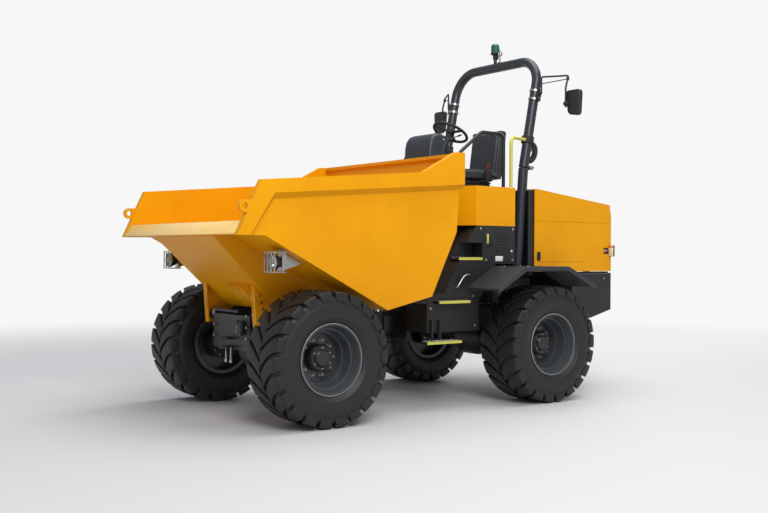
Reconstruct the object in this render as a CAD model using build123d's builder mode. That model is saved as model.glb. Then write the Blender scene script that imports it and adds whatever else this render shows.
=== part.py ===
from build123d import *

import os
from math import atan2, cos, hypot, radians, sin, tan

# Site dumper: an articulated four-wheel tipper with a forward skip, in millimetres.
# X runs forward to the skip's lip, Y to the machine's left, Z up from the ground.

os.makedirs("parts", exist_ok=True)

# Whole machine
wheelbase = 2615
front_overhang = 886  # front axle to the skip's lip
rear_overhang = 1329  # rear axle to the engine cover's tail
track = 1926
overrun = 20  # how far a cut runs past its face
seat_gap = 0.3  # between a piece and what carries it
pin_clearance = 0.05  # radial, between a pin and its bore
plate = 12  # common fabricated plate

lip_x = (front_overhang + wheelbase + rear_overhang) / 2
tail_x = -lip_x
front_axle_x = lip_x - front_overhang
rear_axle_x = front_axle_x - wheelbase
pivot_x = (front_axle_x + rear_axle_x) / 2
half_track = track / 2

# Wheels
tyre_diameter = 1150
tyre_width = 490
lug_height = 26
lug_pairs = 22
lug_run = 150  # how far round the tyre a lug leans
lug_width = 114
lug_foot = 92  # how deep a lug is rooted in the casing
lug_centre_gap = 8
lug_bend_share = 0.2  # of its lean, from the middle, at half the tyre's half width
shoulder_share = 0.94
rim_diameter = 572
rim_width = 412
flange_height = 19
flange_thickness = 12
rim_wall = 14
dish_depth = 250
disc_thickness = 16
rim_step_shares = (0.6, 0.15)
hub_diameter = 230
hub_reach = 95
hub_cap_diameter = 150
hub_cap_reach = 30
axle_z = tyre_diameter / 2

# Axles
axle_tube_diameter = 160
differential_diameter = 380
differential_width = 180
end_drive_diameter = 300
end_drive_width = 180
axle_pad_length = 170
rail_bottom_z = 690
rail_height = 210
rail_thickness = 50
rail_gap = 580  # clear width between the two rails of either frame

# Centre pivot
knuckle_diameter = 160
knuckle_height = 180
knuckle_bottom_z = 650
ear_thickness = 40
ear_diameter = 190
ear_gap = 6
pivot_pin_diameter = 80
pivot_to_front_frame = 220
pivot_to_rear_frame = 120
frame_end_plate = 30
front_rail_run = 50  # the front rails reach this far behind their end plate

# Front tow hitch
hitch_z = 650
hitch_gap = 60
hitch_plate = 20
hitch_reach = 60
hitch_width = 110
hitch_pin_diameter = 34

# Skip
skip_width = 2318
skip_band = 49  # how far the rim stands out from the side wall
skip_plate = 8
skip_lip_z = 1600
skip_floor_z = 965
lip_rise = 120
lip_depth = 87
lip_foot = 175
wing_start = 279  # lip to where the side's lower edge turns down
kink_back = 1505  # lip to the lowest corner of the side
rear_low_back = 2004
rear_low_rise = 110
rear_mid_back = 2291
rear_mid_rise = 695
rear_top_back = 2345
rear_top_rise = 1421
corner_top_length = 106
corner_slope_length = 379
corner_drop = 200
top_front_back = 213
top_front_z = 2044
band_height = 102
band_front_width = 98
band_return = 44  # height of the sloped return under the rim
band_lean_share = 0.5  # of the band's height, how far its front corner runs back
rear_band_height = 290
belly_half_top = 583
belly_half_bottom = 513
belly_top_back = 87
belly_bottom_front_back = 750
rear_rim_depth = 45
rear_rim_height = 60
lug_plate_thickness = 30
lug_plate_reach = 116
lug_plate_height = 150
lift_hole_diameter = 50
lift_hole_back = 66
lift_hole_z = 1830

hose_box_y = 250
hose_box_width = 320
hose_box_height = 250
hose_box_depth = 60
hose_box_rise = 145  # its middle, above the hopper's floor

# Skip pivot, its brackets and the tipping rams
skip_pin_x_back = 636  # lip to the skip's pivot
skip_pin_z = 880
skip_pin_diameter = 60
skip_boss_diameter = 110
bracket_half_gap = 460
bracket_thickness = 25
bracket_flange_width = 65
bracket_foot_z = 810
bracket_foot_back = 557
bracket_top_back = 529
bracket_slot_height = 110
bracket_slot_width = 14
tip_ram_spacing = 340
tip_base_x = 540
tip_base_z = 600
tip_eye_behind_pin = 500
tip_eye_above_pin = 15
tip_barrel_diameter = 110
tip_rod_diameter = 48
ram_eye_diameter = 90
ram_eye_width = 50
ram_pin_diameter = 40
ram_lug_thickness = 15
ram_lug_gap = 1
tip_barrel_end_back = 70
tip_rod_start = 110
skip_tip_angle = 68

# Steering rams
steer_ram_spacing = 600
steer_base_behind_pivot = 470
steer_eye_ahead_pivot = 209
steer_ram_z = 942
steer_barrel_diameter = 60
steer_rod_diameter = 34
steer_eye_diameter = 70
steer_eye_height = 56
steer_pin_diameter = 32
steer_barrel_length = 400
steer_rod_start = 225

# Headlamps
lamp_back = 447
lamp_y = 980
lamp_z = 1385
lamp_radius = 70
lamp_depth = 90
cage_bar = 8
cage_reach = 12  # between the lamp and its cage

# Rear body
engine_gap = 90
engine_length = 700
engine_height = 850
body_width = 1500
tower_inner_gap = 860
tower_front_x = 178
tower_bottom_z = 710
tower_shelf_z = 985
tower_knee_x = -40
tower_knee_z = 1075
tower_shoulder_x = -375
tower_shoulder_z = 1640
tower_top_x = -450
tower_arch_z = 1362
tower_arch_x = -700
tower_rear_x = -480
tower_rear_z = 1000
outrigger_length = 120
outrigger_height = 120
outrigger_z = 740
pillar_depth = 60
pillar_width = 440
deck_z = 1740
deck_thickness = 17
surround_height = 373
surround_thickness = 15
surround_corner_x = -436
surround_front_x = -190
surround_front_width = 640
surround_rear_x = -962
cover_front_x = -1242
cover_top_z = 2130
cover_tail_z = 2000
cover_bottom_z = 1280
cover_bend_x = -1290
cover_plate = 12
cover_tail_rake = 26
cover_hinge_in = 35
cover_hinge_z = 1332
cover_hinge_y = 450
cover_pin_diameter = 16
cover_eye_radius = 18
cover_seam_z = 1800
cover_slot_z = 1378
cover_slot_rear_x = -1980
cover_seam_height = 7
cover_seam_depth = 3
grille_slots = 8
grille_pitch = 44
grille_slot_height = 26
grille_width = 1000
grille_z = 1640
counterweight_top_z = 1262
counterweight_bottom_z = 760
counterweight_knee_z = 860
counterweight_front_x = -1800
counterweight_knee_x = -2020

# Fenders
fender_outer = 1205
fender_thickness = 22
fender_front_x = -317
fender_front_z = 1132
fender_rise_x = -668
fender_top_z = 1340
fender_fall_x = -1272
fender_tip_x = -1669
fender_tip_z = 1150
fender_lip = 45
cover_clearance = 8  # between the fenders and the cover that swings past them

# Roll-over hoop
post_diameter = 100
post_spacing = 1280
post_foot_x = -1102
post_foot_z = 1345
fold_x = -1182
fold_z = 2350
hoop_top_z = 3500
hoop_lean = 11.3
hoop_bend_radius = 270
fold_gap = 6
fold_pin_diameter = 24
fold_lug_thickness = 16
fold_lug_reach = 72
post_beam_width = 120
post_beam_height = 100
bulkhead_return = 72

# Operator's place
console_front_x = -280
console_width = 500
console_top_z = 2690
console_depth = 200
wheel_x = -737
wheel_z = 2740
wheel_diameter = 400
wheel_rim_diameter = 30
wheel_tilt = 28
wheel_spokes = 3
column_diameter = 60
column_length = 600
seat_x = -900
seat_length = 520
seat_width = 500
seat_top_z = 2350
cushion_height = 120
seat_back_height = 460
seat_back_thickness = 130
seat_back_lean = 8
hoop_rail_diameter = 36
hoop_rail_spacing = 900
hoop_rail_top_z = 2706
hoop_rail_front_x = -480
hoop_rail_rear_x = -1080
grab_diameter = 34
grab_spacing = 1420
grab_x = -908
grab_top_z = 2640
hoop_rail_knee_z = 2480
hoop_rail_slope = 290
plinth_width = 1090
plinth_height = 333
tail_lamp_length = 110
tail_lamp_height = 70
tail_lamp_z = 1500
tail_lamp_depth = 22
tail_lamp_wing = 64
tail_lamp_wing_height = 120
tail_lamp_wing_length = 36

# Steps, deck and small pieces of the rear body
step_pocket = 150
foot_hole_height = 170
upper_step_rear_x = -520
upper_step_front_x = -215
upper_step_z = 1400
middle_step_rear_x = -295
middle_step_front_x = 94
middle_step_y = 830
middle_step_z = 1012
lower_step_rear_x = -127
lower_step_front_x = 293
lower_step_y = 900
lower_step_z = 640
step_depth = 120
tread_thickness = 25
tread_edge = 5
hanger_width = 22
deck_tail_x = -1222
deck_tail_width = 1120
mirror_clamp_z = 3110
mirror_clamp_height = 110
mirror_arm_z = 3290
mirror_arm_y = 975
mirror_back = 150
mirror_z = 3000
mirror_arm_diameter = 20
mirror_head_width = 200
mirror_head_height = 270
mirror_head_depth = 50
mirror_head_corner = 24
mirror_ring_height = 22
mirror_stay_drop = 70
mirror_taper_share = 0.5  # of the head's half height, where its inner lower corner lies
beacon_y = -40
beacon_stem_diameter = 38
beacon_stem_height = 92
beacon_diameter = 104
beacon_height = 125


def side_plane(y):
    """Upright plane along the machine at a distance to its left, drawn in X and Z."""
    return Plane.XZ.offset(-y)


def save(name, piece):
    """Names a finished piece and writes its file."""
    piece.part.label = name
    export_step(piece.part, f"parts/{name}.step")


def moved_corners(corners, depth):
    """Inner corners of an open bent plate, each moved to the left of the path by its thickness."""
    moved = []
    for before, here, after in zip(corners, corners[1:], corners[2:]):
        coming = Vector(here[0] - before[0], here[1] - before[1]).normalized()
        going = Vector(after[0] - here[0], after[1] - here[1]).normalized()
        left_coming = Vector(-coming.Y, coming.X)
        left_going = Vector(-going.Y, going.X)
        shift = (left_coming + left_going) * (depth / (1 + left_coming.dot(left_going)))
        moved.append((here[0] + shift.X, here[1] + shift.Y))
    return moved


# Tyre: a bulged casing in flat facets, one to a lug, under wide kinked bars that lean from its middle.
tyre_radius = tyre_diameter / 2
casing_radius = tyre_radius - lug_height
bead_radius = rim_diameter / 2
flange_radius = bead_radius + flange_height
rim_half = rim_width / 2
bead_half = rim_half - flange_thickness
tyre_half = tyre_width / 2
lug_count = 2 * lug_pairs
facet_cosine = cos(radians(180 / lug_count))
casing_rows = [
    # half width, radius
    (bead_half, flange_radius / facet_cosine),
    (tyre_half, (flange_radius + casing_radius) / 2),
    (tyre_half * shoulder_share, casing_radius - lug_height),
    (tyre_half / 2, casing_radius),
]
lug_rows = [
    # distance from the tyre's middle, place along the tread
    (lug_centre_gap, -lug_run / 2),
    (tyre_half / 2, lug_run * lug_bend_share),
    (tyre_half - lug_centre_gap, lug_run / 2),
]

with BuildPart() as tyre_form:
    for half, radius in [*casing_rows, *[(-half, radius) for half, radius in reversed(casing_rows)]]:
        with BuildSketch(Plane.XY.offset(half)) as casing_ring:
            RegularPolygon(radius, lug_count)
    loft(ruled=True)
    for lug_index in range(lug_count):
        side = 1 if lug_index % 2 else -1
        turn = 360 * lug_index / lug_count
        with BuildSketch(Plane.YZ.rotated((0, 0, turn)).offset(tyre_radius)) as lug_outline:
            with BuildLine():
                Polyline(
                    *[(along - lug_width / 2, side * out) for out, along in lug_rows],
                    *[(along + lug_width / 2, side * out) for out, along in reversed(lug_rows)],
                    close=True,
                )
            make_face()
        extrude(amount=-(lug_height + lug_foot))
    with BuildSketch(Plane.XY.offset(-tyre_half)) as tread_reach:
        RegularPolygon(tyre_radius, lug_count)
    extrude(amount=tyre_width, mode=Mode.INTERSECT)
    with BuildSketch(Plane.XY.offset(-tyre_half)) as rim_seat:
        RegularPolygon(bead_radius + seat_gap, lug_count, major_radius=False)
    extrude(amount=tyre_width, mode=Mode.SUBTRACT)

# Rim: a stepped dish with its hub, open towards the outside of the machine.
dish_x = rim_half - dish_depth
hub_radius = hub_diameter / 2
with BuildPart() as rim_form:
    with BuildSketch(Plane.XZ) as rim_section:
        with BuildLine():
            Polyline(
                (0, dish_x - disc_thickness),
                (bead_radius - rim_wall, dish_x - disc_thickness),
                (bead_radius - rim_wall, -rim_half),
                (flange_radius, -rim_half),
                (flange_radius, -bead_half),
                (bead_radius, -bead_half),
                (bead_radius, bead_half),
                (flange_radius, bead_half),
                (flange_radius, rim_half),
                (bead_radius, rim_half),
                (bead_radius - 2 * rim_wall, rim_half * rim_step_shares[0]),
                (bead_radius - 3 * rim_wall, rim_half * rim_step_shares[0]),
                (bead_radius - 4 * rim_wall, rim_half * rim_step_shares[1]),
                (bead_radius - 5 * rim_wall, rim_half * rim_step_shares[1]),
                (bead_radius - 6 * rim_wall, dish_x),
                (hub_radius, dish_x),
                (hub_radius - rim_wall, dish_x + hub_reach),
                (hub_cap_diameter / 2, dish_x + hub_reach),
                (hub_cap_diameter / 2 - rim_wall, dish_x + hub_reach + hub_cap_reach),
                (0, dish_x + hub_reach + hub_cap_reach),
                close=True,
            )
        make_face()
    revolve(axis=Axis.Z)

wheel_places = {
    "front_left": (front_axle_x, 1),
    "front_right": (front_axle_x, -1),
    "rear_left": (rear_axle_x, 1),
    "rear_right": (rear_axle_x, -1),
}
for corner, (place_x, hand) in wheel_places.items():
    centre = (place_x, hand * half_track, axle_z)
    with BuildPart(Plane(origin=centre, x_dir=(1, 0, 0), z_dir=(0, 1, 0))) as tyre:
        add(tyre_form.part)
    save(f"tyre_{corner}", tyre)
    with BuildPart(Plane(origin=centre, x_dir=(1, 0, 0), z_dir=(0, hand, 0))) as rim:
        add(rim_form.part)
    save(f"rim_{corner}", rim)

# Axles: a tube with its differential and an end drive behind each wheel.
axle_end = half_track + dish_x - disc_thickness - seat_gap
rail_inner = rail_gap / 2
rail_outer = rail_inner + rail_thickness
rail_top_z = rail_bottom_z + rail_height
for axle_name, axle_x in (("front_axle", front_axle_x), ("rear_axle", rear_axle_x)):
    across = Plane(origin=(axle_x, 0, axle_z), x_dir=(0, 1, 0), z_dir=(1, 0, 0))
    with BuildPart() as axle:
        with BuildSketch(across) as axle_section:
            with BuildLine():
                Polyline(
                    (0, 0),
                    (0, differential_diameter / 2),
                    (differential_width / 2, differential_diameter / 2),
                    (differential_width, axle_tube_diameter / 2 + plate),
                    (2 * differential_width, axle_tube_diameter / 2),
                    (axle_end - end_drive_width - plate, axle_tube_diameter / 2),
                    (axle_end - end_drive_width, end_drive_diameter / 2),
                    (axle_end - plate, end_drive_diameter / 2),
                    (axle_end, end_drive_diameter / 2 - plate),
                    (axle_end, 0),
                    close=True,
                )
            make_face()
            mirror(about=Plane.YZ)
        revolve(axis=Axis((axle_x, 0, axle_z), (0, 1, 0)))
        with BuildSketch(Plane.XY.offset(axle_z)) as pads:
            with Locations((axle_x, (rail_inner + rail_outer) / 2)):
                Rectangle(axle_pad_length, rail_thickness + 2 * plate)
            mirror(about=Plane.XZ)
        extrude(amount=rail_bottom_z - axle_z)
    save(axle_name, axle)

# Front frame: two rails, an end plate and the knuckle that turns on the pivot pin.
front_plate_x = pivot_x + pivot_to_front_frame
skip_pin_x = lip_x - skip_pin_x_back
rail_front_x = skip_pin_x + skip_boss_diameter / 2 + plate
pin_bore = pivot_pin_diameter / 2 + pin_clearance
knuckle_top_z = knuckle_bottom_z + knuckle_height
knuckle_mid_z = (knuckle_bottom_z + knuckle_top_z) / 2
tip_lug_offset = ram_eye_width / 2 + ram_lug_gap + ram_lug_thickness / 2
tip_ram_y = tip_ram_spacing / 2
steer_ram_y = steer_ram_spacing / 2
steer_eye_x = pivot_x + steer_eye_ahead_pivot

with BuildPart() as front_chassis:
    with BuildSketch(Plane.XY.offset(rail_bottom_z)) as rails:
        rail_rear_x = front_plate_x - front_rail_run
        with Locations(((rail_rear_x + rail_front_x) / 2, (rail_inner + rail_outer) / 2)):
            Rectangle(rail_front_x - rail_rear_x, rail_thickness)
        mirror(about=Plane.XZ)
    extrude(amount=rail_height)
    with BuildSketch(Plane.YZ.offset(front_plate_x)) as end_plate:
        with Locations((0, (tip_base_z + rail_top_z) / 2 - ram_eye_diameter / 2)):
            Rectangle(2 * rail_outer, rail_top_z - tip_base_z + ram_eye_diameter)
    extrude(amount=frame_end_plate)
    with BuildSketch(Plane.YZ.offset(rail_front_x - frame_end_plate)) as nose_plate:
        with Locations((0, rail_bottom_z + rail_height / 2 - rail_thickness)):
            Rectangle(2 * rail_outer, rail_height + 2 * rail_thickness)
    extrude(amount=frame_end_plate)
    with BuildSketch(Plane.XY.offset(knuckle_bottom_z)) as knuckle:
        with Locations((pivot_x, 0)):
            Circle(knuckle_diameter / 2)
        with Locations(((pivot_x + front_plate_x) / 2, 0)):
            Rectangle(pivot_to_front_frame, knuckle_diameter * 0.8)
    extrude(amount=knuckle_height)
    with Locations((pivot_x, 0, knuckle_mid_z)):
        Cylinder(pin_bore, knuckle_height + overrun, mode=Mode.SUBTRACT)
    for hitch_side in (1, -1):
        hitch_mid_z = hitch_z + hitch_side * (hitch_gap + hitch_plate) / 2
        with BuildSketch(Plane.XY.offset(hitch_mid_z - hitch_plate / 2)) as hitch:
            with Locations((rail_front_x + (hitch_reach - plate) / 2, 0)):
                Rectangle(hitch_reach + plate, hitch_width)
            with Locations((rail_front_x + hitch_reach, 0)):
                Circle(hitch_width / 2)
                Circle(hitch_pin_diameter / 2, mode=Mode.SUBTRACT)
        extrude(amount=hitch_plate)
    for hand in (1, -1):
        boss_plane = Plane(
            origin=(skip_pin_x, hand * (rail_outer - plate), skip_pin_z),
            x_dir=(1, 0, 0),
            z_dir=(0, hand, 0),
        )
        with BuildSketch(boss_plane) as boss:
            Circle(skip_boss_diameter / 2)
        extrude(amount=bracket_half_gap - seat_gap - rail_outer + plate)
        with BuildSketch(boss_plane) as skip_pin:
            Circle(skip_pin_diameter / 2)
        extrude(amount=bracket_half_gap + bracket_thickness + plate - rail_outer + plate)
        for lug_side in (1, -1):
            lug_y = hand * tip_ram_y + lug_side * tip_lug_offset
            with BuildSketch(side_plane(lug_y + ram_lug_thickness / 2)) as base_lug:
                with Locations((tip_base_x, tip_base_z)):
                    Circle(ram_eye_diameter / 2)
                with Locations(((front_plate_x + tip_base_x) / 2, tip_base_z)):
                    Rectangle(tip_base_x - front_plate_x, ram_eye_diameter)
            extrude(amount=ram_lug_thickness)
        base_pin_y = hand * tip_ram_y + tip_lug_offset
        with BuildSketch(side_plane(base_pin_y)) as base_pin:
            with Locations((tip_base_x, tip_base_z)):
                Circle(ram_pin_diameter / 2)
        extrude(amount=2 * tip_lug_offset)
save("front_chassis", front_chassis)

# Rear frame: two rails, the ears that hold the pivot pin, and cross members.
rear_plate_x = pivot_x - pivot_to_rear_frame
rail_tail_x = counterweight_front_x
lower_ear_z = knuckle_bottom_z - ear_gap - ear_thickness
upper_ear_z = knuckle_top_z + ear_gap
steer_base_x = pivot_x - steer_base_behind_pivot
tower_half = body_width / 2
tower_inner = tower_inner_gap / 2
outrigger_xs = (tower_front_x - outrigger_length, tower_rear_x + outrigger_length)
cross_member_xs = (steer_base_x - 3 * ear_thickness, tail_x + rear_overhang / 2)
with BuildPart() as rear_chassis:
    with BuildSketch(Plane.XY.offset(rail_bottom_z)) as rails:
        with Locations(((rail_tail_x + rear_plate_x) / 2, (rail_inner + rail_outer) / 2)):
            Rectangle(rear_plate_x - rail_tail_x, rail_thickness)
        mirror(about=Plane.XZ)
        for member_x in cross_member_xs:
            with Locations((member_x, 0)):
                Rectangle(2 * ear_thickness, 2 * rail_inner + rail_thickness)
    extrude(amount=rail_height)
    with BuildSketch(Plane.YZ.offset(rear_plate_x)) as head_plate:
        with Locations((0, (lower_ear_z + rail_top_z) / 2)):
            Rectangle(2 * rail_outer, rail_top_z - lower_ear_z)
    extrude(amount=-frame_end_plate)
    for ear_z in (lower_ear_z, upper_ear_z):
        with BuildSketch(Plane.XY.offset(ear_z)) as ear:
            with Locations((pivot_x, 0)):
                Circle(ear_diameter / 2)
            with Locations(((pivot_x + rear_plate_x) / 2, 0)):
                Rectangle(pivot_to_rear_frame, ear_diameter)
        extrude(amount=ear_thickness)
    with BuildSketch(Plane.XY.offset(lower_ear_z - plate)) as pivot_pin:
        with Locations((pivot_x, 0)):
            Circle(pivot_pin_diameter / 2)
    extrude(amount=upper_ear_z + ear_thickness + 2 * plate - lower_ear_z)
    with BuildSketch(Plane.XY.offset(outrigger_z)) as outriggers:
        for outrigger_x in outrigger_xs:
            with Locations((outrigger_x, (rail_outer + tower_inner) / 2)):
                Rectangle(outrigger_length, tower_inner - rail_outer)
        mirror(about=Plane.XZ)
    extrude(amount=outrigger_height)
    with BuildSketch(Plane.XY.offset(rail_top_z)) as deck_pillar:
        with Locations((cross_member_xs[0], 0)):
            Rectangle(pillar_depth, pillar_width)
    extrude(amount=deck_z - rail_top_z)
    with BuildSketch(Plane.XY.offset(rail_top_z - plate)) as steer_pins:
        with Locations((steer_base_x, steer_ram_y), (steer_base_x, -steer_ram_y)):
            Circle(steer_pin_diameter / 2)
    extrude(amount=steer_ram_z + steer_eye_height / 2 + plate - rail_top_z + plate)
save("rear_chassis", rear_chassis)

# Steering rams: a barrel hinged on the rear frame and a rod out to the front rail.
steer_length = steer_eye_x - steer_base_x
for ram_name, hand in (("left", 1), ("right", -1)):
    ram_y = hand * steer_ram_y
    barrel_start_x = steer_base_x + steer_eye_diameter / 2 - plate
    with BuildPart() as steer_barrel:
        with BuildSketch(Plane.XY.offset(steer_ram_z - steer_eye_height / 2)) as eye:
            with Locations((steer_base_x, ram_y)):
                Circle(steer_eye_diameter / 2)
        extrude(amount=steer_eye_height)
        with BuildSketch(Plane.YZ.offset(barrel_start_x)) as tube:
            with Locations((ram_y, steer_ram_z)):
                Circle(steer_barrel_diameter / 2)
        extrude(amount=steer_barrel_length)
        with BuildSketch(Plane.YZ.offset(barrel_start_x + plate * 2)) as bore:
            with Locations((ram_y, steer_ram_z)):
                Circle(steer_rod_diameter / 2 + pin_clearance)
        extrude(amount=steer_barrel_length, mode=Mode.SUBTRACT)
        with Locations((steer_base_x, ram_y, steer_ram_z)):
            Cylinder(
                steer_pin_diameter / 2 + pin_clearance,
                steer_eye_height + overrun,
                mode=Mode.SUBTRACT,
            )
    save(f"steer_barrel_{ram_name}", steer_barrel)
    with BuildPart() as steer_rod:
        with BuildSketch(Plane.XY.offset(rail_top_z + seat_gap)) as eye:
            with Locations((steer_eye_x, ram_y)):
                Circle(steer_eye_diameter / 2)
        extrude(amount=steer_ram_z + steer_eye_height / 2 - rail_top_z - seat_gap)
        with BuildSketch(Plane.YZ.offset(steer_base_x + steer_rod_start)) as rod:
            with Locations((ram_y, steer_ram_z)):
                Circle(steer_rod_diameter / 2)
        extrude(amount=steer_length - steer_rod_start)
    save(f"steer_rod_{ram_name}", steer_rod)

# Skip shell: a wide tub with a hopper that hangs between the front wheels.
skip_half = skip_width / 2
wall_half = skip_half - skip_band
lip_foot_point = (lip_x, skip_lip_z)
lip_top = (lip_x - lip_depth, skip_lip_z + lip_rise)
wing_top = (lip_x - wing_start, skip_lip_z)
kink = (lip_x - kink_back, skip_floor_z)
rear_low = (lip_x - rear_low_back, skip_floor_z + rear_low_rise)
rear_mid = (lip_x - rear_mid_back, skip_floor_z + rear_mid_rise)
rear_top = (lip_x - rear_top_back, skip_floor_z + rear_top_rise)
corner_end = (rear_top[0] + corner_top_length, rear_top[1])
corner_foot = (corner_end[0] + corner_slope_length, rear_top[1] - corner_drop)
top_front = (lip_x - top_front_back, top_front_z)
under_path = [rear_top, rear_mid, rear_low, kink, wing_top, lip_foot_point]
inner_path = moved_corners(under_path, skip_plate)
inner_rear_top = (rear_top[0] + skip_plate, rear_top[1] + overrun)
front_slope = atan2(top_front[1] - lip_foot_point[1], lip_foot_point[0] - top_front[0])

belly_front_shift = skip_plate / sin(atan2(skip_lip_z - skip_floor_z, belly_bottom_front_back - belly_top_back))


def belly_level(z, wall):
    """The hopper's rear, front and half width at a height, a wall's thickness inside its outside."""
    share = (z - skip_floor_z) / (skip_lip_z - skip_floor_z)
    front_back = belly_bottom_front_back + share * (belly_top_back - belly_bottom_front_back)
    half = belly_half_bottom + share * (belly_half_top - belly_half_bottom)
    front_x = lip_x - front_back - wall * belly_front_shift / skip_plate
    return kink[0] + wall, front_x, half - wall


with BuildPart() as skip_shell:
    with BuildSketch(Plane.XZ) as side_outline:
        with BuildLine():
            Polyline(*under_path, top_front, corner_foot, corner_end, close=True)
        make_face()
    extrude(amount=wall_half, both=True)
    for level_z in (skip_floor_z, skip_lip_z):
        rear_x, front_x, half = belly_level(level_z, 0)
        with BuildSketch(Plane.XY.offset(level_z)) as belly_outside:
            with Locations(((rear_x + front_x) / 2, 0)):
                Rectangle(front_x - rear_x, 2 * half)
    loft()
    with BuildSketch(Plane.XZ) as load_space:
        with BuildLine():
            Polyline(
                inner_rear_top,
                *inner_path,
                (lip_x + overrun, skip_lip_z + skip_plate),
                (lip_x + overrun, inner_rear_top[1]),
                close=True,
            )
        make_face()
    extrude(amount=wall_half - skip_plate, both=True, mode=Mode.SUBTRACT)
    for level_z in (skip_floor_z + skip_plate, skip_lip_z + skip_plate):
        rear_x, front_x, half = belly_level(level_z, skip_plate)
        with BuildSketch(Plane.XY.offset(level_z)) as belly_inside:
            with Locations(((rear_x + front_x) / 2, 0)):
                Rectangle(front_x - rear_x, 2 * half)
    loft(mode=Mode.SUBTRACT)
    # the pouring lip is a closed box across the whole front
    with BuildSketch(Plane.XZ) as lip_section:
        with BuildLine():
            Polyline(lip_foot_point, lip_top, (lip_x - lip_foot, skip_lip_z), close=True)
        make_face()
    extrude(amount=wall_half, both=True)
    with BuildSketch(Plane.XZ) as rear_rim:
        with BuildLine():
            Polyline(
                rear_top,
                (rear_top[0] + rear_rim_depth, rear_top[1]),
                (rear_top[0] + rear_rim_depth, rear_top[1] - rear_rim_height / 2),
                (rear_top[0] + skip_plate / 2, rear_top[1] - rear_rim_height),
                close=True,
            )
        make_face()
    extrude(amount=wall_half, both=True)
    # the rim band stands out from each side on a sloped return
    band_low_front = (
        top_front[0] - band_front_width - band_height * band_lean_share / tan(front_slope),
        top_front[1] - band_height,
    )
    band_foot = (lip_x - band_front_width - overrun, skip_lip_z)
    band_low_rear = (rear_top[0], rear_top[1] - rear_band_height)
    for hand in (1, -1):
        for band_y, drop in ((wall_half, band_return), (skip_half, 0)):
            with BuildSketch(side_plane(hand * band_y)) as band:
                with BuildLine():
                    Polyline(
                        top_front,
                        corner_foot,
                        corner_end,
                        rear_top,
                        (band_low_rear[0], band_low_rear[1] - drop),
                        (band_low_front[0] - drop / 2, band_low_front[1] - drop),
                        (band_foot[0] - drop / 2, band_foot[1]),
                        lip_foot_point,
                        close=True,
                    )
                make_face()
        loft()
    # a lifting lug with its hole at each front corner
    for hand in (1, -1):
        with BuildSketch(side_plane(hand * skip_half)) as lug:
            with Locations((lip_x - lift_hole_back, lift_hole_z)):
                Circle(lift_hole_diameter)
            with Locations((lip_x - lift_hole_back - lift_hole_diameter, lift_hole_z)):
                Rectangle(2 * lift_hole_diameter, 2 * lift_hole_diameter)
        extrude(amount=hand * lug_plate_thickness)
        with BuildSketch(side_plane(hand * (skip_half + overrun))) as lug_hole:
            with Locations((lip_x - lift_hole_back, lift_hole_z)):
                Circle(lift_hole_diameter / 2)
        extrude(amount=hand * (lug_plate_thickness + 2 * overrun), mode=Mode.SUBTRACT)
    # a shallow box on the hopper's sloped front covers the hoses
    belly_slope = atan2(skip_lip_z - skip_floor_z, belly_bottom_front_back - belly_top_back)
    hose_box_x = lip_x - belly_bottom_front_back + hose_box_rise / tan(belly_slope)
    hose_box_plane = Plane(
        origin=(hose_box_x, hose_box_y, skip_floor_z + hose_box_rise),
        x_dir=(0, 1, 0),
        z_dir=(sin(belly_slope), 0, -cos(belly_slope)),
    )
    with BuildSketch(hose_box_plane.offset(-skip_plate / 2)) as hose_box:
        Rectangle(hose_box_width, hose_box_height)
    extrude(amount=hose_box_depth)
save("skip_shell", skip_shell)

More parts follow.
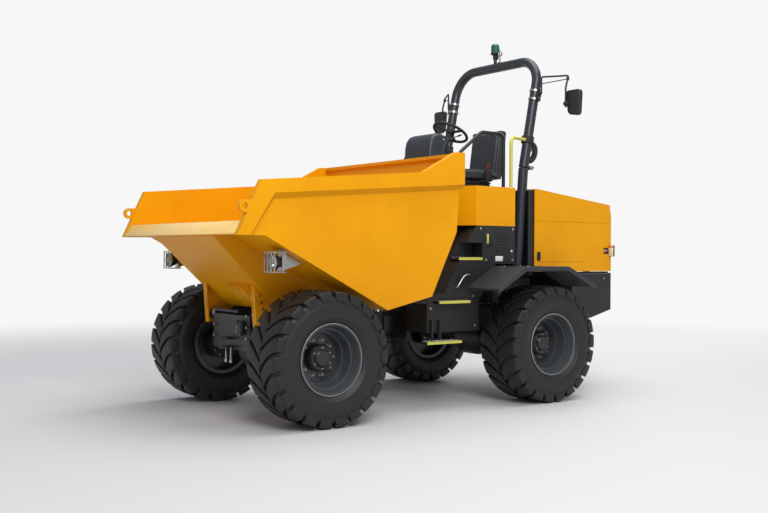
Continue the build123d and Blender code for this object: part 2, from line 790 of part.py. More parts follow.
# Skip brackets: the pivot cheeks under the hopper's front, and the lugs for the tipping rams.
tip_eye_x = skip_pin_x - tip_eye_behind_pin
tip_eye_z = skip_pin_z + tip_eye_above_pin
cheek_outer = bracket_half_gap + bracket_thickness
belly_corner = (lip_x - belly_bottom_front_back, skip_floor_z)
belly_rise = (skip_lip_z - skip_floor_z) / (belly_bottom_front_back - belly_top_back)
cheek_top = (
    lip_x - bracket_top_back,
    skip_floor_z + (belly_bottom_front_back - bracket_top_back) * belly_rise,
)
with BuildPart() as skip_brackets:
    for hand in (1, -1):
        with BuildSketch(side_plane(max(hand * bracket_half_gap, hand * cheek_outer))) as cheek:
            with BuildLine():
                Polyline(
                    cheek_top,
                    (lip_x - bracket_foot_back, bracket_foot_z),
                    (skip_pin_x - skip_boss_diameter / 2, bracket_foot_z),
                    (belly_corner[0] - skip_boss_diameter, skip_floor_z),
                    belly_corner,
                    close=True,
                )
            make_face()
            with Locations((skip_pin_x, skip_pin_z)):
                Circle(skip_pin_diameter / 2 + pin_clearance, mode=Mode.SUBTRACT)
        extrude(amount=bracket_thickness)
        flange_y = hand * (cheek_outer - bracket_flange_width / 2)
        with BuildSketch(Plane(origin=(0, flange_y, 0), x_dir=(1, 0, 0), z_dir=(0, -1, 0))) as flange:
            with BuildLine():
                Polyline(
                    cheek_top,
                    (lip_x - bracket_foot_back, bracket_foot_z),
                    (lip_x - bracket_foot_back - plate, bracket_foot_z),
                    (cheek_top[0] - plate, cheek_top[1] - plate * belly_rise),
                    close=True,
                )
            make_face()
        extrude(amount=bracket_flange_width / 2, both=True)
        slot_y = hand * (bracket_half_gap - (bracket_flange_width - bracket_thickness) / 2)
        with BuildSketch(Plane.YZ.offset(lip_x - bracket_foot_back - 2 * overrun)) as flange_slot:
            with Locations((slot_y, (bracket_foot_z + cheek_top[1]) / 2)):
                SlotOverall(bracket_slot_height, bracket_slot_width, rotation=90)
        extrude(amount=bracket_flange_width + 2 * overrun, mode=Mode.SUBTRACT)
        for lug_side in (1, -1):
            lug_y = hand * tip_ram_y + lug_side * tip_lug_offset
            with BuildSketch(side_plane(lug_y + ram_lug_thickness / 2)) as eye_lug:
                with Locations((tip_eye_x, tip_eye_z)):
                    Circle(ram_eye_diameter / 2)
                with Locations((tip_eye_x, (tip_eye_z + skip_floor_z) / 2)):
                    Rectangle(ram_eye_diameter, skip_floor_z - tip_eye_z)
            extrude(amount=ram_lug_thickness)
save("skip_brackets", skip_brackets)

# Tipping rams: two barrels on the front frame, and their rods up to the skip's lugs.
tip_run_x = tip_eye_x - tip_base_x
tip_run_z = tip_eye_z - tip_base_z
tip_length = hypot(tip_run_x, tip_run_z)
tip_direction = (tip_run_x / tip_length, 0, tip_run_z / tip_length)


def along_tip_ram(distance, y):
    """Plane across a tipping ram, at a distance from its base pin."""
    place = (
        tip_base_x + tip_direction[0] * distance,
        y,
        tip_base_z + tip_direction[2] * distance,
    )
    return Plane(origin=place, x_dir=(0, 1, 0), z_dir=tip_direction)


barrel_start = ram_eye_diameter / 2 - plate
barrel_end = tip_length - tip_barrel_end_back
with BuildPart() as tip_barrels:
    for hand in (1, -1):
        ram_y = hand * tip_ram_y
        with BuildSketch(side_plane(ram_y + ram_eye_width / 2)) as eye:
            with Locations((tip_base_x, tip_base_z)):
                Circle(ram_eye_diameter / 2)
        extrude(amount=ram_eye_width)
        with BuildSketch(along_tip_ram(barrel_start, ram_y)) as tube:
            Circle(tip_barrel_diameter / 2)
        extrude(amount=barrel_end - barrel_start)
        with BuildSketch(along_tip_ram(barrel_start + 2 * plate, ram_y)) as bore:
            Circle(tip_rod_diameter / 2 + pin_clearance)
        extrude(amount=barrel_end, mode=Mode.SUBTRACT)
        with BuildSketch(side_plane(ram_y + ram_eye_width)) as eye_bore:
            with Locations((tip_base_x, tip_base_z)):
                Circle(ram_pin_diameter / 2 + pin_clearance)
        extrude(amount=2 * ram_eye_width, mode=Mode.SUBTRACT)
        # the barrel is narrowed where it runs between the lugs of its base
        for lug_side in (1, -1):
            lug_y = ram_y + lug_side * tip_lug_offset
            with BuildSketch(side_plane(lug_y + ram_lug_thickness / 2 + ram_lug_gap)) as relief:
                with Locations((tip_base_x, tip_base_z)):
                    Circle(ram_eye_diameter / 2 + plate / 2)
            extrude(amount=ram_lug_thickness + 2 * ram_lug_gap, mode=Mode.SUBTRACT)
save("tip_barrels", tip_barrels)

with BuildPart() as tip_rods:
    for hand in (1, -1):
        ram_y = hand * tip_ram_y
        with BuildSketch(side_plane(ram_y + ram_eye_width / 2)) as eye:
            with Locations((tip_eye_x, tip_eye_z)):
                Circle(ram_eye_diameter / 2)
        extrude(amount=ram_eye_width)
        with BuildSketch(along_tip_ram(tip_rod_start, ram_y)) as rod:
            Circle(tip_rod_diameter / 2)
        extrude(amount=tip_length - tip_rod_start)
save("tip_rods", tip_rods)

# Headlamps: a round lamp in a bracket under each wing of the skip.
lamp_x = lip_x - lamp_back
wing_rise = (skip_lip_z - skip_floor_z) / (kink_back - wing_start)
with BuildPart() as headlamps:
    for hand in (1, -1):
        lamp_plane = Plane(
            origin=(lamp_x, hand * lamp_y, lamp_z), x_dir=(0, 1, 0), z_dir=(1, 0, 0)
        )
        with BuildSketch(lamp_plane) as bowl:
            Circle(lamp_radius)
        extrude(amount=lamp_depth / 2)
        extrude(bowl.sketch, amount=-lamp_depth / 2, taper=25)
save("headlamps", headlamps)

with BuildPart() as lamp_brackets:
    for hand in (1, -1):
        rear_x = lamp_x - lamp_depth
        front_x = lamp_x - lamp_depth / 2 - seat_gap
        bracket_y = hand * lamp_y + lamp_radius / 2
        cage_half = lamp_radius + cage_reach
        cage_x = lamp_x + lamp_depth / 2 + cage_reach
        with BuildSketch(side_plane(bracket_y)) as bracket:
            with BuildLine():
                Polyline(
                    (rear_x, lamp_z - lamp_radius / 2),
                    (front_x - plate, lamp_z - cage_half),
                    (front_x, lamp_z - cage_half),
                    (front_x, skip_floor_z + (front_x - kink[0]) * wing_rise),
                    (rear_x, skip_floor_z + (rear_x - kink[0]) * wing_rise),
                    close=True,
                )
            make_face()
        extrude(amount=lamp_radius)
        for shelf_z in (lamp_z - cage_half - cage_bar / 2, lamp_z + cage_half - cage_bar / 2):
            with BuildSketch(Plane.XY.offset(shelf_z)) as cage_shelf:
                with Locations(((front_x - plate + cage_x) / 2, hand * lamp_y)):
                    Rectangle(cage_x - front_x + plate, 2 * cage_half)
            extrude(amount=cage_bar)
        with BuildSketch(Plane.YZ.offset(cage_x)) as cage_grid:
            with Locations((hand * lamp_y, lamp_z)):
                Rectangle(2 * cage_half, 2 * cage_half + cage_bar)
                Rectangle(2 * (cage_half - cage_bar), 2 * cage_half - cage_bar, mode=Mode.SUBTRACT)
                with GridLocations(2 * cage_half / 3, 0, 2, 1):
                    Rectangle(cage_bar, 2 * cage_half)
        extrude(amount=-cage_bar)
save("lamp_brackets", lamp_brackets)

# Engine and driveline mass: one plain block between the rear rails.
with BuildPart() as engine_block:
    engine_front_x = cover_front_x - engine_gap
    engine_rear_x = max(engine_front_x - engine_length, counterweight_front_x + engine_gap)
    with BuildSketch(Plane.XY.offset(rail_top_z + seat_gap)) as engine_base:
        with Locations(((engine_front_x + engine_rear_x) / 2, 0)):
            Rectangle(engine_front_x - engine_rear_x, 2 * rail_outer)
    extrude(amount=engine_height)
save("engine_block", engine_block)

# Counterweight: the heavy tail, with its lower edge swept up to the rear and the cover's hinge.
cover_hinge_x = tail_x + cover_hinge_in
with BuildPart() as counterweight:
    with BuildSketch(Plane.XZ) as weight_side:
        with BuildLine():
            Polyline(
                (tail_x, counterweight_top_z),
                (tail_x, counterweight_knee_z),
                (counterweight_knee_x, counterweight_bottom_z),
                (counterweight_front_x - seat_gap, counterweight_bottom_z),
                (counterweight_front_x - seat_gap, counterweight_top_z),
                close=True,
            )
        make_face()
    extrude(amount=body_width / 2, both=True)
    for hand in (1, -1):
        with BuildSketch(side_plane(hand * cover_hinge_y + plate / 2)) as cover_bracket:
            with Locations((cover_hinge_x, cover_hinge_z)):
                Circle(cover_eye_radius)
            with Locations((cover_hinge_x, (cover_hinge_z + counterweight_top_z) / 2)):
                Rectangle(2 * cover_eye_radius, cover_hinge_z - counterweight_top_z)
        extrude(amount=plate)
        with BuildSketch(side_plane(hand * cover_hinge_y)) as cover_pin:
            with Locations((cover_hinge_x, cover_hinge_z)):
                Circle(cover_pin_diameter / 2)
        extrude(amount=2 * plate + cover_clearance, both=True)
save("counterweight", counterweight)

# Engine cover: top, flanks and tail in one shell that tips back on its tail hinge.
cover_half = body_width / 2
with BuildPart() as engine_cover:
    with BuildSketch(Plane.XZ) as cover_side:
        with BuildLine():
            Polyline(
                (cover_front_x, cover_bottom_z),
                (cover_front_x, cover_top_z),
                (cover_bend_x, cover_top_z),
                (tail_x + cover_tail_rake, cover_tail_z),
                (tail_x, cover_tail_z - 5 * cover_tail_rake),
                (tail_x, cover_bottom_z),
                close=True,
            )
        make_face()
    extrude(amount=cover_half, both=True)
    with BuildSketch(Plane.XZ) as cover_inside:
        with BuildLine():
            Polyline(
                (cover_front_x + overrun, cover_bottom_z - overrun),
                (cover_front_x + overrun, cover_top_z - cover_plate),
                (cover_bend_x, cover_top_z - cover_plate),
                (tail_x + cover_tail_rake + cover_plate, cover_tail_z - cover_plate),
                (tail_x + cover_plate, cover_tail_z - 5 * cover_tail_rake),
                (tail_x + cover_plate, cover_bottom_z - overrun),
                close=True,
            )
        make_face()
    extrude(amount=cover_half - cover_plate, both=True, mode=Mode.SUBTRACT)
    for hand in (1, -1):
        with BuildSketch(side_plane(hand * cover_hinge_y + plate / 2 + cover_clearance)) as notch:
            with Locations((tail_x, cover_bottom_z)):
                Rectangle(2 * cover_hinge_in, 2 * (cover_hinge_z + cover_eye_radius - cover_bottom_z))
        extrude(amount=plate + 2 * cover_clearance, mode=Mode.SUBTRACT)
        for ear_side in (1, -1):
            ear_y = hand * cover_hinge_y + ear_side * (plate + cover_clearance)
            with BuildSketch(side_plane(ear_y + plate / 2)) as ear:
                with Locations(((tail_x + cover_hinge_x + plate / 2) / 2, cover_hinge_z)):
                    Rectangle(cover_hinge_in - plate / 2, 2 * cover_eye_radius)
                with Locations((cover_hinge_x, cover_hinge_z)):
                    Circle(cover_eye_radius)
                    Circle(cover_pin_diameter / 2 + pin_clearance, mode=Mode.SUBTRACT)
            extrude(amount=plate)
    # a seam and a vent slot along each flank, and the radiator's grille in the tail
    for hand in (1, -1):
        for groove_z, groove_rear_x in ((cover_seam_z, tail_x), (cover_slot_z, cover_slot_rear_x)):
            with BuildSketch(side_plane(hand * (cover_half - cover_seam_depth))) as groove:
                with Locations(((cover_front_x + groove_rear_x) / 2, groove_z)):
                    Rectangle(cover_front_x - groove_rear_x + overrun, cover_seam_height)
            extrude(amount=-hand * cover_plate, mode=Mode.SUBTRACT)
    with BuildSketch(Plane.YZ.offset(tail_x - cover_plate)) as grille:
        with Locations((0, grille_z)):
            with GridLocations(0, grille_pitch, 1, grille_slots):
                Rectangle(grille_width, grille_slot_height)
    extrude(amount=3 * cover_plate, mode=Mode.SUBTRACT)
save("engine_cover", engine_cover)

# Towers: the dark housings at both sides under the deck, with a foot hole at the front.
tower_outline = [
    (tower_front_x, tower_bottom_z),
    (tower_front_x, tower_shelf_z),
    (tower_knee_x, tower_knee_z),
    (tower_shoulder_x, tower_shoulder_z),
    (tower_top_x, deck_z),
    (surround_rear_x, deck_z),
    (surround_rear_x, tower_arch_z),
    (tower_arch_x, tower_arch_z),
    (tower_rear_x, tower_rear_z),
    (tower_rear_x, tower_bottom_z),
]
with BuildPart() as towers:
    for hand in (1, -1):
        with BuildSketch(side_plane(max(hand * tower_half, hand * tower_inner))) as tower_side:
            with BuildLine():
                Polyline(*tower_outline, close=True)
            make_face()
        extrude(amount=tower_half - tower_inner)
        pocket_y = hand * (tower_half - step_pocket / 2)
        with BuildSketch(Plane.XY.offset(upper_step_z)) as foot_hole:
            with Locations(((upper_step_front_x + upper_step_rear_x) / 2, pocket_y)):
                Rectangle(upper_step_front_x - upper_step_rear_x, step_pocket)
        extrude(amount=foot_hole_height, mode=Mode.SUBTRACT)
save("towers", towers)

# Steps: a tread in the foot hole, one on the tower's side, and one hung below it.
step_rows = {
    # row: rear x, front x, inner y, outer y, top z
    "upper": (upper_step_rear_x, upper_step_front_x, tower_half - step_pocket, tower_half, upper_step_z),
    "middle": (middle_step_rear_x, middle_step_front_x, tower_half, middle_step_y, middle_step_z),
    "lower": (lower_step_rear_x, lower_step_front_x, lower_step_y - step_depth, lower_step_y, lower_step_z),
}
with BuildPart() as steps:
    for hand in (1, -1):
        for rear_x, front_x, inner_y, outer_y, top_z in step_rows.values():
            base_z = top_z if top_z == upper_step_z else top_z - tread_thickness
            with BuildSketch(Plane.XY.offset(base_z)) as tread:
                with Locations(((rear_x + front_x) / 2, hand * (inner_y + outer_y) / 2)):
                    Rectangle(front_x - rear_x, outer_y - inner_y)
            extrude(amount=tread_thickness)
        hanger_x = (lower_step_rear_x + lower_step_front_x) / 2
        hanger_y = lower_step_y - step_depth
        hanger_base = lower_step_z - tread_thickness
        hanger_top = tower_bottom_z + outrigger_height
        with BuildSketch(Plane.XZ.offset(-hand * hanger_y)) as hangers:
            for hanger_side in (1, -1):
                shift = hanger_side * (tower_front_x - hanger_x) / 2
                with Locations((hanger_x + shift, (hanger_base + hanger_top) / 2)):
                    Rectangle(hanger_width, hanger_top - hanger_base)
        extrude(amount=hand * (hanger_y - tower_half))
save("steps", steps)

# Step edges: a high-visibility strip along the outer edge of each tread.
with BuildPart() as step_edges:
    for hand in (1, -1):
        for rear_x, front_x, inner_y, outer_y, top_z in step_rows.values():
            base_z = top_z if top_z == upper_step_z else top_z - tread_thickness
            edge_y = hand * (outer_y + seat_gap)
            with BuildSketch(side_plane(max(edge_y, edge_y + hand * tread_edge))) as edge:
                with Locations(((rear_x + front_x) / 2, base_z + tread_thickness / 2)):
                    Rectangle(front_x - rear_x, tread_thickness)
            extrude(amount=tread_edge)
save("step_edges", step_edges)

# Deck and surround: the floor, and the bent yellow plate that closes the operator's place.
surround_path = [
    (surround_rear_x, body_width / 2),
    (surround_corner_x, body_width / 2),
    (surround_front_x, surround_front_width / 2),
    (surround_front_x, -surround_front_width / 2),
    (surround_corner_x, -body_width / 2),
    (surround_rear_x, -body_width / 2),
]
surround_inside = [
    (surround_rear_x, body_width / 2 - surround_thickness),
    *moved_corners(surround_path, -surround_thickness),
    (surround_rear_x, -body_width / 2 + surround_thickness),
]
with BuildPart() as deck:
    with BuildSketch(Plane.XY.offset(deck_z)) as deck_plan:
        with BuildLine():
            Polyline(*surround_inside, close=True)
        make_face()
        with Locations(((deck_tail_x + surround_rear_x) / 2, 0)):
            Rectangle(surround_rear_x - deck_tail_x, deck_tail_width)
    extrude(amount=deck_thickness)
save("deck", deck)

with BuildPart() as surround:
    with BuildSketch(Plane.XY.offset(deck_z)) as surround_plan:
        with BuildLine():
            Polyline(*surround_path, *reversed(surround_inside), close=True)
        make_face()
    extrude(amount=deck_thickness + surround_height)
save("surround", surround)

# Hoop mount: the pillars and cross beam that carry the posts and the deck's tail.
with BuildPart() as hoop_mount:
    with BuildSketch(Plane.XY.offset(rail_top_z)) as pillars:
        with Locations((post_foot_x, (rail_inner + rail_outer) / 2)):
            Rectangle(post_beam_width, rail_thickness)
        mirror(about=Plane.XZ)
    extrude(amount=post_foot_z - rail_top_z)
    bulkhead_x = deck_tail_x - seat_gap - plate
    beam_front_x = post_foot_x + post_beam_width / 2
    with BuildSketch(Plane.XY.offset(post_foot_z - post_beam_height)) as post_beam:
        with Locations(((beam_front_x + bulkhead_x) / 2, 0)):
            Rectangle(beam_front_x - bulkhead_x, post_spacing + post_diameter + plate)
    extrude(amount=post_beam_height)
    # the bulkhead behind the seat, with a dark channel at each side of the engine cover's mouth
    bulkhead_half = body_width / 2 - surround_thickness
    with BuildSketch(Plane.XY.offset(post_foot_z - post_beam_height)) as bulkhead:
        with Locations((bulkhead_x + plate / 2, 0)):
            Rectangle(plate, 2 * bulkhead_half)
        with Locations((bulkhead_x + bulkhead_return / 2, bulkhead_half - plate / 2)):
            Rectangle(bulkhead_return, plate)
        mirror(about=Plane.XZ)
    extrude(amount=cover_top_z - plate - post_foot_z + post_beam_height)
    with BuildSketch(Plane.XY.offset(post_foot_z)) as deck_web:
        with Locations((post_foot_x, 0)):
            Rectangle(plate, deck_tail_width)
    extrude(amount=deck_z - post_foot_z)
save("hoop_mount", hoop_mount)

# Fenders: a folded shell over each rear wheel with a turned-down outer edge.
fender_path = [
    (fender_front_x, fender_front_z),
    (fender_rise_x, fender_top_z),
    (fender_fall_x, fender_top_z),
    (fender_tip_x, fender_tip_z),
]
fender_under = [
    (fender_front_x, fender_front_z - fender_thickness),
    *moved_corners(fender_path, fender_thickness),
    (fender_tip_x, fender_tip_z - fender_thickness),
]
fender_edge = [
    (fender_front_x, fender_front_z - fender_lip),
    *moved_corners(fender_path, fender_lip),
    (fender_tip_x, fender_tip_z - fender_lip),
]
with BuildPart() as fenders:
    for hand in (1, -1):
        for under, inner_y in (
            (fender_under, tower_half + cover_clearance),
            (fender_edge, fender_outer - fender_thickness),
        ):
            with BuildSketch(side_plane(max(hand * inner_y, hand * fender_outer))) as fender_side:
                with BuildLine():
                    Polyline(*fender_path, *reversed(under), close=True)
                make_face()
            extrude(amount=fender_outer - inner_y)
        # the front slope reaches in to the tower that carries it
        seat_y = tower_half + cover_clearance + fender_thickness
        with BuildSketch(side_plane(max(hand * tower_half, hand * seat_y))) as fender_seat:
            with BuildLine():
                Polyline(
                    fender_path[0],
                    fender_path[1],
                    fender_under[1],
                    fender_under[0],
                    close=True,
                )
            make_face()
        extrude(amount=seat_y - tower_half)
save("fenders", fenders)


def tube(corners, bend_radius, diameter):
    """A round tube along straight runs with bent corners, added to the piece in hand."""
    with BuildLine() as route:
        FilletPolyline(*corners, radius=bend_radius)
    with BuildSketch(Plane(origin=route.line @ 0, z_dir=route.line % 0)) as section:
        Circle(diameter / 2)
    sweep(sections=section.sketch, path=route.line)


def bar(start, end, diameter):
    """A straight round bar between two points, added to the piece in hand."""
    run = Vector(*end) - Vector(*start)
    with BuildSketch(Plane(origin=start, z_dir=run)) as section:
        Circle(diameter / 2)
    extrude(section.sketch, amount=run.length)


# Roll-over hoop: two fixed posts, and a bent hoop that folds back on lugs behind them.
post_y = post_spacing / 2
post_radius = post_diameter / 2
fold_eye_radius = fold_pin_diameter * 0.75
fold_axis_x = fold_x - post_radius - fold_pin_diameter
hoop_slope = tan(radians(hoop_lean))


def hoop_x(z):
    """The leaning hoop's middle line at a height."""
    return fold_x - (z - fold_z) * hoop_slope


post_shift = fold_x - post_foot_x
post_rise = fold_z - fold_gap / 2 - post_foot_z
with BuildPart() as hoop_posts:
    for hand in (1, -1):
        post_plane = Plane(
            origin=(post_foot_x, hand * post_y, post_foot_z),
            x_dir=(0, 1, 0),
            z_dir=(post_shift, 0, post_rise),
        )
        with BuildSketch(post_plane.offset(-overrun)) as post:
            Circle(post_radius)
        extrude(amount=hypot(post_shift, post_rise) + 2 * overrun)
    for end_z, past in ((post_foot_z, -post_diameter), (post_foot_z + post_rise, post_diameter)):
        with BuildSketch(Plane.XY.offset(end_z)) as post_end:
            with Locations((post_foot_x, 0)):
                Rectangle(4 * post_diameter, 2 * post_spacing)
        extrude(amount=past, mode=Mode.SUBTRACT)
    for hand in (1, -1):
        with BuildSketch(side_plane(hand * post_y + fold_lug_thickness / 2)) as fold_lug:
            with BuildLine():
                Polyline(
                    (fold_x, fold_z - fold_gap / 2),
                    (fold_x, fold_z - fold_lug_reach),
                    (fold_axis_x - fold_eye_radius, fold_z),
                    (fold_axis_x, fold_z),
                    close=True,
                )
            make_face()
            with Locations((fold_axis_x, fold_z)):
                Circle(fold_eye_radius)
                Circle(fold_pin_diameter / 2 + pin_clearance, mode=Mode.SUBTRACT)
        extrude(amount=fold_lug_thickness)
save("hoop_posts", hoop_posts)

hoop_foot_z = fold_z + fold_gap / 2
with BuildPart() as hoop:
    tube(
        [
            (hoop_x(hoop_foot_z), post_y, hoop_foot_z),
            (hoop_x(hoop_top_z), post_y, hoop_top_z),
            (hoop_x(hoop_top_z), -post_y, hoop_top_z),
            (hoop_x(hoop_foot_z), -post_y, hoop_foot_z),
        ],
        hoop_bend_radius,
        post_diameter,
    )
    with BuildSketch(Plane.XY.offset(hoop_foot_z)) as hoop_end:
        with Locations((fold_x, 0)):
            Rectangle(4 * post_diameter, 2 * post_spacing)
    extrude(amount=-post_diameter, mode=Mode.SUBTRACT)
    for hand in (1, -1):
        for cheek_side in (1, -1):
            cheek_y = hand * post_y + cheek_side * (fold_lug_thickness + ram_lug_gap)
            with BuildSketch(side_plane(cheek_y + fold_lug_thickness / 2)) as fold_cheek:
                with BuildLine():
                    Polyline(
                        (fold_x, hoop_foot_z),
                        (fold_x, hoop_foot_z + fold_lug_reach),
                        (fold_axis_x - fold_eye_radius, fold_z),
                        (fold_axis_x, fold_z),
                        close=True,
                    )
                make_face()
                with Locations((fold_axis_x, fold_z)):
                    Circle(fold_eye_radius)
            extrude(amount=fold_lug_thickness)
        pin_half = 1.5 * fold_lug_thickness + ram_lug_gap
        with BuildSketch(side_plane(hand * post_y + pin_half)) as fold_pin:
            with Locations((fold_axis_x, fold_z)):
                Circle(fold_pin_diameter / 2)
        extrude(amount=2 * pin_half)
save("hoop", hoop)

# Mirrors: a clamp round each side of the hoop, a bent arm and a head at its end.
mirror_x = hoop_x(mirror_clamp_z)
hoop_axis = (-sin(radians(hoop_lean)), 0, cos(radians(hoop_lean)))
with BuildPart() as mirrors:
    for hand in (1, -1):
        clamp_place = (mirror_x, hand * post_y, mirror_clamp_z)
        clamp_plane = Plane(origin=clamp_place, x_dir=(0, 1, 0), z_dir=hoop_axis)
        for ring_side in (1, -1):
            ring_start = ring_side * mirror_clamp_height / 2
            with BuildSketch(clamp_plane.offset(ring_start)) as ring:
                Circle(post_radius + plate)
                Circle(post_radius + pin_clearance, mode=Mode.SUBTRACT)
            extrude(amount=-ring_side * mirror_ring_height)
        with BuildSketch(clamp_plane.offset(-mirror_clamp_height / 2)) as clamp_plate:
            with Locations((hand * (post_radius + plate), 0)):
                Rectangle(plate, post_radius)
        extrude(amount=mirror_clamp_height)
        tube(
            [
                (mirror_x, hand * (post_y + post_radius + plate), mirror_clamp_z),
                (mirror_x, hand * (post_y + 2 * post_radius), mirror_clamp_z),
                (mirror_x, hand * (post_y + 2 * post_radius), mirror_arm_z),
                (mirror_x - mirror_back, hand * mirror_arm_y, mirror_arm_z),
                (mirror_x - mirror_back, hand * mirror_arm_y, mirror_z),
            ],
            mirror_arm_diameter,
            mirror_arm_diameter,
        )
        head_plane = Plane(
            origin=(mirror_x - mirror_back, hand * mirror_arm_y, mirror_z),
            x_dir=(0, 1, 0),
            z_dir=(1, 0, 0),
        )
        bar(
            (mirror_x, hand * (post_y + 2 * post_radius), mirror_arm_z - mirror_stay_drop),
            (mirror_x - mirror_back, hand * mirror_arm_y, mirror_arm_z - 2 * mirror_arm_diameter),
            mirror_arm_diameter / 2,
        )
        head_inner = -hand * mirror_arm_diameter
        head_outer = hand * (mirror_head_width - mirror_arm_diameter)
        head_half = mirror_head_height / 2
        with BuildSketch(head_plane) as head:
            with BuildLine():
                Polyline(
                    (head_inner, head_half),
                    (head_outer, head_half),
                    (head_outer - hand * mirror_head_corner, -head_half),
                    (head_inner, -head_half * mirror_taper_share),
                    close=True,
                )
            make_face()
            fillet(head.vertices(), mirror_head_corner)
        extrude(amount=mirror_head_depth / 2, both=True)
save("mirrors", mirrors)

# Beacon: a stem on the hoop's top and a round lamp with a rounded crown.
beacon_base_z = hoop_top_z + post_radius + seat_gap
with BuildPart() as beacon_stem:
    with BuildSketch(Plane.XY.offset(beacon_base_z)) as stem:
        with Locations((hoop_x(hoop_top_z), beacon_y)):
            Circle(beacon_stem_diameter / 2)
    extrude(amount=beacon_stem_height)
save("beacon_stem", beacon_stem)
with BuildPart() as beacon:
    with BuildSketch(Plane.XY.offset(beacon_base_z + beacon_stem_height)) as lens:
        with Locations((hoop_x(hoop_top_z), beacon_y)):
            Circle(beacon_diameter / 2)
    extrude(amount=beacon_height)
    fillet(beacon.edges().group_by(Axis.Z)[-1], beacon_diameter / 5)
save("beacon", beacon)

# Console: a bulged dashboard on the deck, its column and the steering wheel.
deck_top_z = deck_z + deck_thickness
wheel_plane = Plane(
    origin=(wheel_x, 0, wheel_z),
    x_dir=(0, 1, 0),
    z_dir=(-sin(radians(wheel_tilt)), 0, cos(radians(wheel_tilt))),
)
with BuildPart() as console:
    with BuildSketch(Plane.XZ) as console_side:
        with BuildLine():
            Polyline(
                (console_front_x, deck_top_z),
                (console_front_x, console_top_z - console_depth),
            )
            RadiusArc(
                (console_front_x, console_top_z - console_depth),
                (console_front_x - console_depth / 2, console_top_z),
                -console_depth,
            )
            Polyline(
                (console_front_x - console_depth / 2, console_top_z),
                (console_front_x - console_depth, console_top_z - plate),
                (console_front_x - console_depth, console_top_z - 2 * console_depth),
                (console_front_x - console_depth / 2, deck_top_z),
                (console_front_x, deck_top_z),
            )
        make_face()
    extrude(amount=console_width / 2, both=True)
    with BuildSketch(wheel_plane.offset(-wheel_rim_diameter / 2 - seat_gap)) as column:
        Circle(column_diameter / 2)
    extrude(amount=-column_length)
save("console", console)

with BuildPart(wheel_plane) as steering_wheel:
    Torus(wheel_diameter / 2 - wheel_rim_diameter / 2, wheel_rim_diameter / 2)
    Cylinder(column_diameter / 2 + plate, wheel_rim_diameter)
    with BuildSketch(wheel_plane.offset(-plate / 2)) as spokes:
        with PolarLocations(wheel_diameter / 4, wheel_spokes):
            Rectangle(wheel_diameter / 2 - wheel_rim_diameter, wheel_rim_diameter)
    extrude(amount=plate)
save("steering_wheel", steering_wheel)

# Seat: a plinth on the deck, a sprung base, a cushion and a leaning back.
seat_front_x = seat_x + seat_length / 2
seat_rear_x = seat_x - seat_length / 2
cushion_bottom_z = seat_top_z - cushion_height
with BuildPart() as seat_base:
    with BuildSketch(Plane.XY.offset(deck_top_z)) as plinth:
        with Locations(((seat_front_x + deck_tail_x) / 2, 0)):
            Rectangle(seat_front_x - deck_tail_x, plinth_width)
    extrude(amount=plinth_height)
    with BuildSketch(Plane.XY.offset(deck_top_z + plinth_height)) as sprung_base:
        with Locations((seat_x, 0)):
            Rectangle(seat_length - 2 * rail_thickness, seat_width - 2 * rail_thickness)
    extrude(amount=cushion_bottom_z - deck_top_z - plinth_height - seat_gap)
save("seat_base", seat_base)

with BuildPart() as seat_cushion:
    with BuildSketch(Plane.XY.offset(cushion_bottom_z)) as cushion:
        with Locations((seat_x, 0)):
            RectangleRounded(seat_length, seat_width, cushion_height / 2)
    extrude(amount=cushion_height)
    fillet(seat_cushion.edges().group_by(Axis.Z)[-1], cushion_height / 4)
save("seat_cushion", seat_cushion)

with BuildPart() as seat_back:
    lean_shift = seat_back_height * tan(radians(seat_back_lean))
    with BuildSketch(Plane.XZ) as back_side:
        with BuildLine():
            Polyline(
                (seat_rear_x - seat_gap, seat_top_z - cushion_height),
                (seat_rear_x - seat_gap - lean_shift, seat_top_z + seat_back_height),
                (seat_rear_x - lean_shift - seat_back_thickness, seat_top_z + seat_back_height),
                (seat_rear_x - seat_back_thickness, seat_top_z - cushion_height),
                close=True,
            )
        make_face()
    extrude(amount=seat_width / 2, both=True)
    fillet(seat_back.edges().group_by(Axis.Z)[-1], seat_back_thickness / 4)
save("seat_back", seat_back)

# Seat rails: a black bent tube at each side of the seat.
rail_y = hoop_rail_spacing / 2
with BuildPart() as seat_rails:
    for hand in (1, -1):
        tube(
            [
                (hoop_rail_front_x, hand * rail_y, deck_top_z),
                (hoop_rail_front_x, hand * rail_y, hoop_rail_knee_z),
                (hoop_rail_front_x - hoop_rail_slope, hand * rail_y, hoop_rail_top_z),
                (hoop_rail_rear_x, hand * rail_y, hoop_rail_top_z),
                (hoop_rail_rear_x, hand * rail_y, deck_top_z + plinth_height),
            ],
            2 * hoop_rail_diameter,
            hoop_rail_diameter,
        )
save("seat_rails", seat_rails)

# Grab rails: high-visibility tubes from above the surround back to the hoop.
grab_y = body_width / 2 - surround_thickness / 2
grab_reach = post_radius + plate / 2
grab_aim = atan2(grab_y - post_y, grab_x - hoop_x(grab_top_z))
grab_end = (
    hoop_x(grab_top_z) + grab_reach * cos(grab_aim),
    post_y + grab_reach * sin(grab_aim),
)
with BuildPart() as grab_rails:
    for hand in (1, -1):
        tube(
            [
                (grab_x, hand * grab_y, deck_top_z + surround_height + cover_clearance),
                (grab_x, hand * grab_y, grab_top_z),
                (grab_end[0], hand * grab_end[1], grab_top_z),
            ],
            2 * grab_diameter,
            grab_diameter,
        )
        collar_place = (hoop_x(grab_top_z), hand * post_y, grab_top_z)
        with BuildSketch(Plane(origin=collar_place, x_dir=(0, 1, 0), z_dir=hoop_axis)) as collar:
            Circle(post_radius + plate)
            Circle(post_radius + seat_gap, mode=Mode.SUBTRACT)
        extrude(amount=grab_diameter, both=True)
save("grab_rails", grab_rails)

